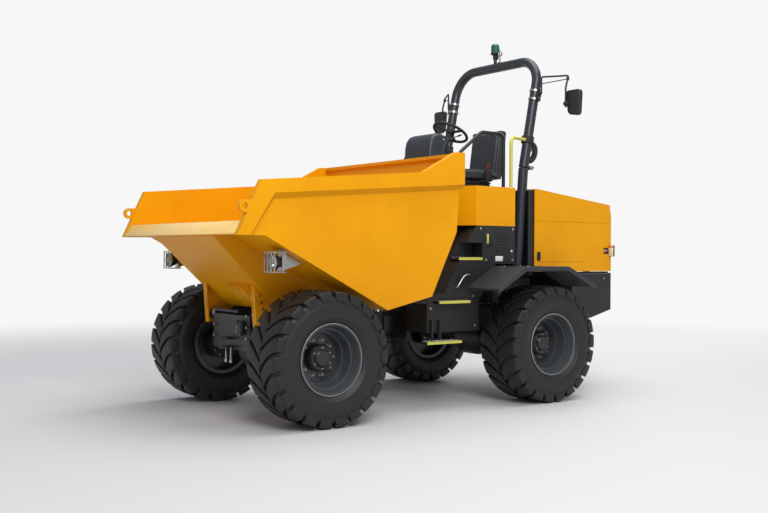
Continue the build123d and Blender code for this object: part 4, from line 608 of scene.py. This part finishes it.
dress(zinc, "lamp_brackets")
mirror_bright = worked_finish(
    "reflector", (0.9, 0.9, 0.88), (0.82, 0.82, 0.8), 0.08, metal=1.0, peel=0.0, edge=0,
)
clear_glass = worked_finish(
    "clear_glass", (0.93, 0.95, 0.96), (0.9, 0.92, 0.94), 0.04, peel=0.0, edge=0,
)
tune(clear_glass.node_tree.nodes["Principled BSDF"], Transmission_Weight=0.9)
lamp_x, lamp_y, lamp_z = 1.968, 0.98, 1.385
housing_profile = (
    (-0.045, 0), (-0.045, 0.03), (-0.03, 0.046), (0, 0.062), (0.02, 0.067), (0.036, 0.067),
    (0.036, 0.064), (0.018, 0.0635), (-0.002, 0.0585), (-0.032, 0.042), (-0.042, 0.027),
    (-0.042, 0),
)
bowl_profile = (
    (-0.036, 0), (-0.036, 0.012), (-0.026, 0.028), (-0.008, 0.046), (0.012, 0.0575), (0.03, 0.0625),
    (0.032, 0.061), (0.014, 0.056), (-0.006, 0.0445), (-0.022, 0.028), (-0.032, 0.012), (-0.032, 0),
)
bulb_profile = ((-0.031, 0), (-0.03, 0.009), (-0.012, 0.009), (-0.006, 0.005), (-0.006, 0))
glass_profile = (
    (0.036, 0), (0.035, 0.03), (0.032, 0.0605), (0.0365, 0.0605), (0.039, 0.05), (0.0375, 0.047),
    (0.0415, 0.034), (0.04, 0.031), (0.0435, 0.016), (0.042, 0.013), (0.0445, 0),
)
lamp_rim_profile = (
    (0.026, 0.0675), (0.026, 0.0695), (0.04, 0.07), (0.0445, 0.068), (0.0445, 0.062),
    (0.038, 0.061), (0.038, 0.0645), (0.026, 0.0675),
)
housings, bowls, glasses, rims, gussets = (bmesh.new() for _ in range(5))
for hand in (1, -1):
    for lamp_form, profile, segments in (
        (housings, housing_profile, 48), (bowls, bowl_profile, 48), (bowls, bulb_profile, 24),
        (glasses, glass_profile, 48), (rims, lamp_rim_profile, 64),
    ):
        add_turned(lamp_form, profile, (lamp_x, hand * lamp_y, lamp_z), (1, 0, 0), segments)
    gusset = ((1.884, 1.462), (1.884, 1.318), (1.71, 1.373))
    gusset_y = hand * lamp_y - 0.003
    pull_plate(gussets, [(along, gusset_y, height) for along, height in gusset], (0, 0.006, 0))
    for bolt_z in (1.42, 1.36):
        add_bolt(gussets, (1.86, hand * lamp_y - 0.011, bolt_z), (0, 0.022, 0), 0.009)
housing = make_piece("lamp_housings", housings, black_paint, "skip")
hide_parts("headlamps")
make_piece("lamp_bowls", bowls, mirror_bright, "skip")
make_piece("lamp_glasses", glasses, clear_glass, "skip")
make_piece("lamp_rims", rims, zinc, "skip")
make_piece("lamp_gussets", gussets, zinc, "skip")

# Roll-over hoop: bent steel tube in dark blue-grey, folding on lugs. Each fold has a plated pin
# with nuts, a black hook and a rubber boot, and a rubber sleeve covers each grab rail's collar.
hoop_paint = worked_finish("hoop_paint", (0.022, 0.026, 0.034), (0.016, 0.019, 0.026), 0.34)
dress(hoop_paint, "hoop_posts", "hoop", "beacon_stem")
post_y, fold_x, fold_z, hoop_lean = 0.64, -1.256, 2.35, radians(11.3)
hoop_axis = Vector((-sin(hoop_lean), 0, cos(hoop_lean)))
sleeve_profile = (
    (-0.037, 0.0515), (-0.037, 0.0625), (-0.035, 0.0645), (0.035, 0.0645), (0.037, 0.0625),
    (0.037, 0.0515),
)
form, sleeves = bmesh.new(), bmesh.new()
for hand in (1, -1):
    for side in (1, -1):
        for inner, height, radius, sides, edge in (
            (0.048, 0.014, 0.019, 6, 0.0015), (0.044, 0.004, 0.024, 24, 0.001),
            (0.06, 0.01, 0.012, 24, 0.0015),
        ):
            spot = (fold_x, hand * post_y + side * inner, fold_z)
            add_bolt(form, spot, (0, side * height, 0), radius, sides, edge)
    add_turned(sleeves, sleeve_profile, (-1.2399, hand * post_y, 2.64), hoop_axis)
make_piece("fold_bolts", form, zinc, "rear_frame")
make_piece("grab_sleeves", sleeves, dark_rubber, "hoop")
for hand, side_name in ((1, "left"), (-1, "right")):
    bent_tube(
        "fold_hook_" + side_name,
        [(-1.232, hand * 0.66, 2.40), (-1.29, hand * 0.672, 2.41), (-1.315, hand * 0.672, 2.46),
         (-1.30, hand * 0.672, 2.55), (-1.268, hand * 0.668, 2.58), (-1.262, hand * 0.665, 2.52)],
        0.008, black_paint, "hoop",
    )
    bent_tube(
        "fold_boot_" + side_name,
        [(-1.25, hand * 0.64, 2.42), (-1.31, hand * 0.64, 2.44), (-1.345, hand * 0.645, 2.51),
         (-1.335, hand * 0.645, 2.59), (-1.285, hand * 0.64, 2.61)],
        0.03, dark_rubber, "hoop",
    )

# Mirrors: black moulded heads on bent arms with a stay, flat silvered glass in each, a ball joint
# in front, and plated clamp bands with a plate and screws on the hoop.
mirror_black = worked_finish(
    "mirror_black", (0.013, 0.013, 0.014), (0.018, 0.018, 0.019), 0.42, peel=0.04,
)


def bends(corners, ease):
    """A route's points with two more beside each inner corner, so that a tube bends only there."""
    corners = [Vector(corner) for corner in corners]
    route = [corners[0]]
    for before, here, after in zip(corners, corners[1:], corners[2:]):
        way_back, way_on = (before - here).normalized(), (after - here).normalized()
        route += [here + way_back * ease, here, here + way_on * ease]
    return route + [corners[-1]]


def moulded_plate(form, outline, round_off, pull, edge):
    """A flat four-cornered outline pulled into a plate with rounded corners and soft rims."""
    pull_plate(form, outline, pull)
    bmesh.ops.recalc_face_normals(form, faces=form.faces)
    way = Vector(pull).normalized()
    across = [
        e for e in form.edges
        if abs((e.verts[0].co - e.verts[1].co).normalized().dot(way)) > 0.99
    ]
    soften(form, across, round_off, 7, clamp=True)
    rims = [e for e in form.edges if any(len(face.verts) > 4 for face in e.link_faces)]
    soften(form, rims, edge, 3, clamp=True)


head_y, head_z = 0.975, 3.0
clamp_x, clamp_z, arm_y, arm_top_z = -1.3339, 3.11, 0.74, 3.29
band_profile = ((-0.011, 0.0502), (-0.011, 0.0585), (0.011, 0.0585), (0.011, 0.0502))
joints, bands = bmesh.new(), bmesh.new()
for hand, side_name in ((1, "left"), (-1, "right")):
    head, glass = bmesh.new(), bmesh.new()
    for plate, plate_x, outline, round_off, depth, edge in (
        (head, -1.509, ((-0.02, 0.135), (0.18, 0.135), (0.165, -0.135), (0.012, -0.11)),
         0.04, 0.05, 0.010),
        (glass, -1.5105, ((-0.006, 0.121), (0.166, 0.121), (0.152, -0.121), (0.024, -0.098)),
         0.03, 0.003, 0.0008),
    ):
        corners = [(plate_x, hand * (head_y + out), head_z + up) for out, up in outline]
        moulded_plate(plate, corners, round_off, (depth, 0, 0), edge)
    make_piece("mirror_head_" + side_name, head, mirror_black, "hoop", crease=50)
    make_piece("mirror_glass_" + side_name, glass, mirror_bright, "hoop", crease=50)
    clamp = Vector((clamp_x, hand * post_y, clamp_z))
    arm = bent_tube(
        "mirror_arm_" + side_name,
        bends([
            (clamp_x, hand * 0.695, clamp_z), (clamp_x, hand * arm_y, clamp_z),
            (clamp_x, hand * arm_y, arm_top_z), (-1.4839, hand * head_y, arm_top_z),
            (-1.445, hand * head_y, 3.16), (-1.445, hand * head_y, 2.96),
        ], 0.04),
        0.01, mirror_black, "hoop",
    )
    if hand > 0:
        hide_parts("mirrors")
    bent_tube(
        "mirror_stay_" + side_name,
        [(clamp_x, hand * arm_y, 3.22), (-1.4, hand * 0.85, 3.235),
         (-1.4755, hand * head_y, 3.255)],
        0.005, mirror_black, "hoop",
    )
    joint = Vector((-1.465, hand * head_y, head_z))
    add_round(joints, joint, joint + Vector((0.035, 0, 0)), 0.03, 0.022, edge=0.004)
    add_bolt(joints, (-1.4755, hand * head_y, 3.24), (0, 0, 0.035), 0.015, 24, 0.003)
    add_block(
        joints, clamp + Vector((0, hand * 0.062, 0)), (0.06, 0.018, 0.125), 0.004,
        Matrix.Rotation(-hoop_lean, 4, "Y"),
    )
    for along in (-0.0445, 0.0445):
        band = clamp + hoop_axis * along
        add_turned(bands, band_profile, band, hoop_axis)
        add_bolt(bands, band + Vector((-0.06, -0.02, -0.012)), (0, 0.04, 0), 0.006, 12)
        spot = clamp + hoop_axis * along * 0.7 + Vector((0, hand * 0.07, 0))
        add_bolt(bands, spot, (0, hand * 0.01, 0), 0.009)
make_piece("mirror_joints", joints, dark_rubber, "hoop")
make_piece("clamp_bands", bands, zinc, "hoop")

# Beacon: a ribbed green lens on a black moulded base with a spring clip, pushed onto its stem,
# and a plated eye bolt beside it on the hoop's top.
green_lens = worked_finish(
    "green_lens", (0.004, 0.12, 0.05), (0.003, 0.09, 0.04), 0.1, peel=0.0, edge=0,
)
beacon_x = -1.4119
beacon_foot, upward = (beacon_x, -0.04, 3.642), (0, 0, 1)
base_profile = (
    (0, 0), (0, 0.03), (0.004, 0.044), (0.008, 0.052), (0.022, 0.052), (0.027, 0.049),
    (0.03, 0.046), (0.03, 0),
)
socket_profile = (
    (-0.05, 0.0195), (-0.05, 0.026), (-0.03, 0.028), (-0.004, 0.028), (0, 0.026), (0, 0.0195),
)
lens_profile = [(0.029, 0.0), (0.029, 0.046)]
for index in range(10):
    lens_profile += [(0.031 + 0.0066 * index, 0.0485), (0.0343 + 0.0066 * index, 0.0463)]
lens_profile += [
    (0.099, 0.048), (0.106, 0.0455), (0.114, 0.038), (0.12, 0.025), (0.1235, 0.01), (0.124, 0),
]
eye_profile = [
    (0.008 * sin(pi * index / 6), 0.028 + 0.008 * cos(pi * index / 6)) for index in range(13)
]
form, lens, eye = bmesh.new(), bmesh.new(), bmesh.new()
add_turned(form, base_profile, beacon_foot, upward)
add_turned(form, socket_profile, beacon_foot, upward, 32)
add_block(form, (beacon_x, -0.008, 3.615), (0.022, 0.022, 0.045), 0.003)
add_turned(lens, lens_profile, beacon_foot, upward, 64)
add_round(eye, (beacon_x, 0.035, 3.549), (beacon_x, 0.035, 3.556), 0.024, edge=0.001)
add_round(eye, (beacon_x, 0.035, 3.55), (beacon_x, 0.035, 3.62), 0.009)
add_turned(eye, eye_profile, (beacon_x, 0.035, 3.65), (1, 0, 0), 40)
beacon_base = make_piece("beacon_base", form, dark_rubber, "hoop")
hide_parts("beacon")
make_piece("beacon_lens", lens, green_lens, "hoop")
make_piece("hoop_eye", eye, zinc, "hoop")

# Seat: foam cushions in black vinyl, each sewn in lengthwise channels, on the steel base. The
# foam swells the cover tight by pressure.
vinyl = worked_finish(
    "vinyl", (0.022, 0.024, 0.03), (0.028, 0.03, 0.036), 0.5, peel=0.14, peel_scale=300,
)


def pad(name, centre, size, turn, channels, node):
    """A stuffed cushion that swells from a slightly small block, and is quilted lengthwise."""
    voxel, last_frame, swell_limit, seam_depth, seam_width = 0.0075, 20, 0.014, 0.012, 0.014
    form = bmesh.new()
    small = Matrix.Diagonal((size[0] - 0.02, size[1] - 0.02, size[2] - 0.024, 1))
    bmesh.ops.create_cube(form, size=1, matrix=small)
    soften(form, form.edges, 0.034, 4)
    mesh = bpy.data.meshes.new(name)
    form.to_mesh(mesh)
    form.free()
    cushion = bpy.data.objects.new(name, mesh)
    bpy.context.collection.objects.link(cushion)

    def settled():
        """The cushion's mesh as its modifiers leave it, with the modifiers taken off."""
        graph = bpy.context.evaluated_depsgraph_get()
        left = bpy.data.meshes.new_from_object(cushion.evaluated_get(graph))
        cushion.modifiers.clear()
        return left

    remesh = cushion.modifiers.new("even", "REMESH")
    remesh.mode = "VOXEL"
    remesh.voxel_size = voxel
    cushion.data = settled()
    start = [spot.co.copy() for spot in cushion.data.vertices]
    underside = [spot.index for spot in cushion.data.vertices if spot.co.z < -size[2] * 0.36]
    held = cushion.vertex_groups.new(name="held")
    held.add(underside, 1, "REPLACE")
    cloth = cushion.modifiers.new("swell", "CLOTH")
    cloth.settings.use_pressure = True
    cloth.settings.uniform_pressure_force = 4
    cloth.settings.effector_weights.gravity = 0
    cloth.settings.vertex_group_mass = "held"
    cloth.point_cache.frame_start, cloth.point_cache.frame_end = 1, last_frame
    for step in range(1, last_frame + 1):
        bpy.context.scene.frame_set(step)
    swollen = settled()
    bpy.context.scene.frame_set(1)
    cushion.data = swollen
    for spot, first_place in zip(cushion.data.vertices, start):
        move = spot.co - first_place
        if move.length > swell_limit:
            spot.co = first_place + move * (swell_limit / move.length)
    reach = size[1] / 2 - 0.05
    for spot in cushion.data.vertices:
        x, y, z = spot.co
        if z > 0 and abs(y) < reach + 0.02 and abs(x) < size[0] / 2 - 0.045:
            place = (y + reach) / (2 * reach) * channels
            near = abs(place - round(place)) * 2 * reach / channels
            spot.co.z -= seam_depth * max(0, 1 - near / seam_width) ** 2
    form = bmesh.new()
    form.from_mesh(cushion.data)
    bmesh.ops.smooth_vert(
        form, verts=form.verts, factor=0.5, use_axis_x=True, use_axis_y=True, use_axis_z=True,
    )
    bmesh.ops.transform(form, matrix=Matrix.Translation(centre) @ turn, verts=form.verts)
    bpy.data.objects.remove(cushion)
    piece = make_piece(name, form, vinyl, "rear_frame", crease=75)
    finer = piece.modifiers.new("finer", "SUBSURF")
    finer.levels = finer.render_levels = 1
    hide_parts(node)


pad("seat_pad", Vector((-0.90, 0, 2.29)), (0.52, 0.50, 0.12), Matrix(), 6, "seat_cushion")
back_turn, back_place = Matrix.Rotation(radians(82), 4, "Y"), Vector((-1.256, 0, 2.52))
pad("seat_back_pad", back_place, (0.57, 0.50, 0.125), back_turn, 7, "seat_back")

# Seat belt: dark red webbing that comes out of a black reel on the left and ends at a buckle on
# the right. Both stand on a plate bolted under the cushion.
belt_red = worked_finish(
    "belt_red", (0.12, 0.012, 0.01), (0.09, 0.01, 0.008), 0.7, peel=0.15, peel_scale=500,
)
belt_lean = Matrix.Rotation(radians(-14), 4, "Y")
form, webbing = bmesh.new(), bmesh.new()
add_block(form, (-1.02, 0.285, 2.28), (0.09, 0.045, 0.12), 0.01)
add_block(form, (-0.985, -0.28, 2.295), (0.035, 0.03, 0.15), 0.006)
add_block(form, (-1.0, 0, 2.221), (0.06, 0.62, 0.012), 0.002)
add_block(webbing, (-1.02, 0.285, 2.37), (0.05, 0.004, 0.09), 0.001, belt_lean)
add_block(webbing, (-0.985, -0.28, 2.385), (0.04, 0.018, 0.05), 0.006)
make_piece("belt_reels", form, dark_rubber, "rear_frame")
make_piece("belt_webbing", webbing, belt_red, "rear_frame")

# Seat base: a moulded plinth on the deck with a storage lid and its catch, and a rubber bellows
# round the sprung base under the cushion.
form, lid = bmesh.new(), bmesh.new()
for index in range(5):
    fold_in = 0.012 * (index % 2)
    fold_place = (-0.90, 0, 2.112 + 0.024 * index)
    add_block(form, fold_place, (0.45 - fold_in, 0.43 - fold_in, 0.02), 0.008)
add_block(lid, (-0.6385, 0, 1.93), (0.008, 0.7, 0.24), 0.003)
add_block(form, (-0.633, 0, 2.02), (0.012, 0.09, 0.03), 0.004)
make_piece("seat_bellows", form, dark_rubber, "rear_frame")
make_piece("plinth_lid", lid, panel_grey, "rear_frame")

# Console: a moulded plastic hood that stands on the deck, with two gauges, rocker switches, a key
# switch, two levers with ball knobs, two pedals, and a stalk and cap on the steering column.
dress(dark_rubber, "steering_wheel")
dash_grey = worked_finish(
    "dash_grey", (0.02, 0.025, 0.033), (0.026, 0.031, 0.04), 0.42, peel=0.05, peel_scale=420,
)
hood_width = 0.43
hood_side = (
    # forward, height
    (-0.28, 1.757), (-0.28, 2.5), (-0.284, 2.56), (-0.3, 2.62), (-0.335, 2.667), (-0.39, 2.69),
    (-0.48, 2.68), (-0.48, 2.29), (-0.38, 1.757),
)
hood = bmesh.new()
hood_flank = [(along, -hood_width / 2, height) for along, height in hood_side]
pull_plate(hood, hood_flank, (0, hood_width, 0))
flanks = [face for face in hood.faces if len(face.verts) == len(hood_side)]
bmesh.ops.recalc_face_normals(hood, faces=hood.faces)
flank_edges = [e for face in flanks for e in face.edges]
soften(hood, [e for e in flank_edges if min(v.co.z for v in e.verts) > 2.2], 0.035, 5)
dash_hood = make_piece("dash_hood", hood, dash_grey, "rear_frame", crease=40)
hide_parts("console")
form, bezels, dials, switches = (bmesh.new() for _ in range(4))
add_round(form, (-0.7297, 0, 2.7263), (-0.448, 0, 2.1965), 0.03, segments=32, edge=0.002)
add_round(form, (-0.56, 0, 2.407), (-0.462, 0, 2.223), 0.036, 0.06, segments=32, edge=0.004)
add_block(form, (-0.486, 0, 2.60), (0.03, 0.32, 0.11), 0.012)
add_block(form, (-0.487, 0, 2.42), (0.018, 0.37, 0.14), 0.008)
bezel_profile = (
    (0, 0.036), (0.002, 0.046), (0.009, 0.046), (0.011, 0.042), (0.006, 0.038), (0.002, 0.036),
)
for gauge_y in (-0.07, 0.07):
    add_turned(bezels, bezel_profile, (-0.5, gauge_y, 2.605), (-1, 0, 0), 40)
    add_bolt(dials, (-0.501, gauge_y, 2.605), (-0.003, 0, 0), 0.038, 24, 0)
switch_lean = Matrix.Rotation(radians(8), 4, "Y")
for index in range(6):
    switch_place = (-0.499, -0.13 + 0.052 * index, 2.45)
    add_block(switches, switch_place, (0.014, 0.026, 0.046), 0.004, switch_lean)
add_bolt(switches, (-0.496, 0.15, 2.39), (-0.016, 0, 0), 0.014, 24, 0.002)
add_block(switches, (-0.518, 0.15, 2.39), (0.014, 0.004, 0.024), 0.001)
make_piece("dash_panel", form, dark_rubber, "rear_frame")
make_piece("gauge_bezels", bezels, zinc, "rear_frame")
make_piece("gauge_dials", dials, blank_white, "rear_frame")
make_piece("dash_switches", switches, mirror_black, "rear_frame")
form, knobs = bmesh.new(), bmesh.new()
ball_profile = [(-0.022 * cos(pi * index / 8), 0.022 * sin(pi * index / 8)) for index in range(9)]
for lever_y in (-0.16, -0.195):
    add_round(form, (-0.49, lever_y, 2.40), (-0.56, lever_y, 2.56), 0.007)
    add_turned(knobs, ball_profile, (-0.565, lever_y, 2.572), upward, 24)
add_round(form, (-0.70, 0.03, 2.665), (-0.715, 0.17, 2.69), 0.006)
add_round(knobs, (-0.713, 0.15, 2.687), (-0.718, 0.2, 2.695), 0.010, 0.008, edge=0.003)
wheel_cap_profile = ((0, 0.0), (0, 0.034), (0.012, 0.034), (0.02, 0.028), (0.024, 0.0))
column_axis = (-sin(radians(28)), 0, cos(radians(28)))
add_turned(knobs, wheel_cap_profile, (-0.7441, 0, 2.7533), column_axis, 40)
pedal_lean = Matrix.Rotation(radians(-32), 4, "Y")
for pedal_y in (-0.16, 0.16):
    add_round(form, (-0.46, pedal_y, 1.80), (-0.535, pedal_y, 1.83), 0.008)
    add_block(knobs, (-0.55, pedal_y, 1.835), (0.024, 0.09, 0.11), 0.006, pedal_lean)
    for row in (-1.5, -0.5, 0.5, 1.5):
        rib = (-0.5635 - 0.013 * row, pedal_y, 1.8435 + 0.021 * row)
        add_block(knobs, rib, (0.006, 0.08, 0.008), 0.002, pedal_lean)
make_piece("lever_rods", form, zinc, "rear_frame")
make_piece("lever_knobs", knobs, dark_rubber, "rear_frame")

# Deck mat: ribbed black rubber, laid on the operator's steel deck between the console and the
# seat's plinth.
mat_x = -0.54
form = bmesh.new()
add_block(form, (mat_x, 0, 1.7595), (0.16, 0.98, 0.005), 0.002)
for index in range(34):
    add_block(form, (mat_x, -0.47 + 0.0285 * index, 1.7635), (0.15, 0.011, 0.004), 0.0015)
make_piece("deck_mat", form, dark_rubber, "rear_frame")

# Tail lamps: a black housing in each flank's rear corner with a red and an amber round lens in
# plated rings, and an amber and a cream lens that stand out past the corner.
amber = worked_finish("amber_lens", (0.9, 0.28, 0.01), (0.85, 0.24, 0.008), 0.12, peel=0.0, edge=0)
red = worked_finish("red_lens", (0.55, 0.012, 0.008), (0.5, 0.01, 0.006), 0.12, peel=0.0, edge=0)
cream = worked_finish("cream_lens", (0.85, 0.72, 0.42), (0.8, 0.66, 0.36), 0.14, peel=0.0, edge=0)
tail_z, wing_y = 1.5, 0.782
round_lens_profile = (
    (0, 0.0105), (0.004, 0.0115), (0.007, 0.009), (0.0065, 0.0065), (0.0095, 0.004), (0.0095, 0),
)
ring_profile = ((0, 0.0112), (0, 0.0145), (0.004, 0.0145), (0.005, 0.0125), (0.004, 0.0112))
form, reds, ambers, creams, rings = (bmesh.new() for _ in range(5))
for hand in (1, -1):
    add_block(form, (-2.348, hand * 0.740, tail_z), (0.11, 0.022, 0.07), 0.004)
    add_block(form, (-2.396, hand * wing_y, tail_z), (0.014, 0.064, 0.12), 0.004)
    add_block(creams, (-2.378, hand * wing_y, 1.49), (0.022, 0.058, 0.094), 0.008)
    add_block(ambers, (-2.378, hand * wing_y, 1.547), (0.022, 0.058, 0.018), 0.005)
    for lens_x, lens_form in ((-2.341, reds), (-2.3095, ambers)):
        base = (lens_x, hand * 0.751, tail_z)
        add_turned(lens_form, round_lens_profile, base, (0, hand, 0), 32)
        add_turned(rings, ring_profile, base, (0, hand, 0), 32)
tail_housing = make_piece("tail_housings", form, dark_rubber, "engine_cover")
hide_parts("tail_lamps")
make_piece("tail_reds", reds, red, "engine_cover")
make_piece("tail_ambers", ambers, amber, "engine_cover")
make_piece("tail_creams", creams, cream, "engine_cover")
make_piece("tail_rings", rings, zinc, "engine_cover")

# Pivot fittings: plated cap bolts and a grease nipple on the centre pin, and the heads of the
# pins through the steering rams' eyes. They ride the rear frame.
pivot_x = 0.2215
form = bmesh.new()
for across, aside in round_about(6, 0.066):
    add_bolt(form, (pivot_x + across, aside, 0.876), (0, 0, 0.01), 0.008)
add_bolt(form, (pivot_x, 0, 0.895), (0, 0, 0.017), 0.006, 24)
for hand in (1, -1):
    add_bolt(form, (-0.2485, hand * 0.3, 0.978), (0, 0, 0.01), 0.02, 24, 0.0015)
make_piece("pivot_fittings", form, zinc, "rear_frame")

# Nose fittings: plated bolts, pin caps and two threaded rods with nuts below the front frame's
# nose, and a grey valve block with a hose rail bolted to its plate.
form, valves = bmesh.new(), bmesh.new()
for hand in (1, -1):
    for bolt_z in (0.70, 0.80, 0.90):
        add_bolt(form, (1.854, hand * 0.305, bolt_z), (0.012, 0, 0), 0.013, 6, 0.0015)
    add_bolt(form, (1.779, hand * 0.35, 0.905), (0, hand * 0.075, 0), 0.058, 24, 0.004)
for rod_y in (0.06, -0.03):
    add_bolt(form, (1.88, rod_y, 0.61), (0, 0, -0.14), 0.008, 24)
    add_bolt(form, (1.88, rod_y, 0.50), (0, 0, -0.03), 0.015, 6, 0.0015)
add_block(valves, (1.872, 0.2, 0.79), (0.036, 0.10, 0.13), 0.006)
add_bolt(valves, (1.885, 0.2, 0.85), (0.02, 0, 0), 0.016, 24, 0.002)
for valve_z in (0.76, 0.80):
    add_bolt(form, (1.885, 0.2, valve_z), (0.017, 0, 0), 0.011)
add_block(valves, (1.859, -0.06, 0.935), (0.012, 0.44, 0.025), 0.004)
make_piece("nose_fittings", form, zinc, "front_frame")
make_piece("nose_valves", valves, fender_grey, "front_frame")
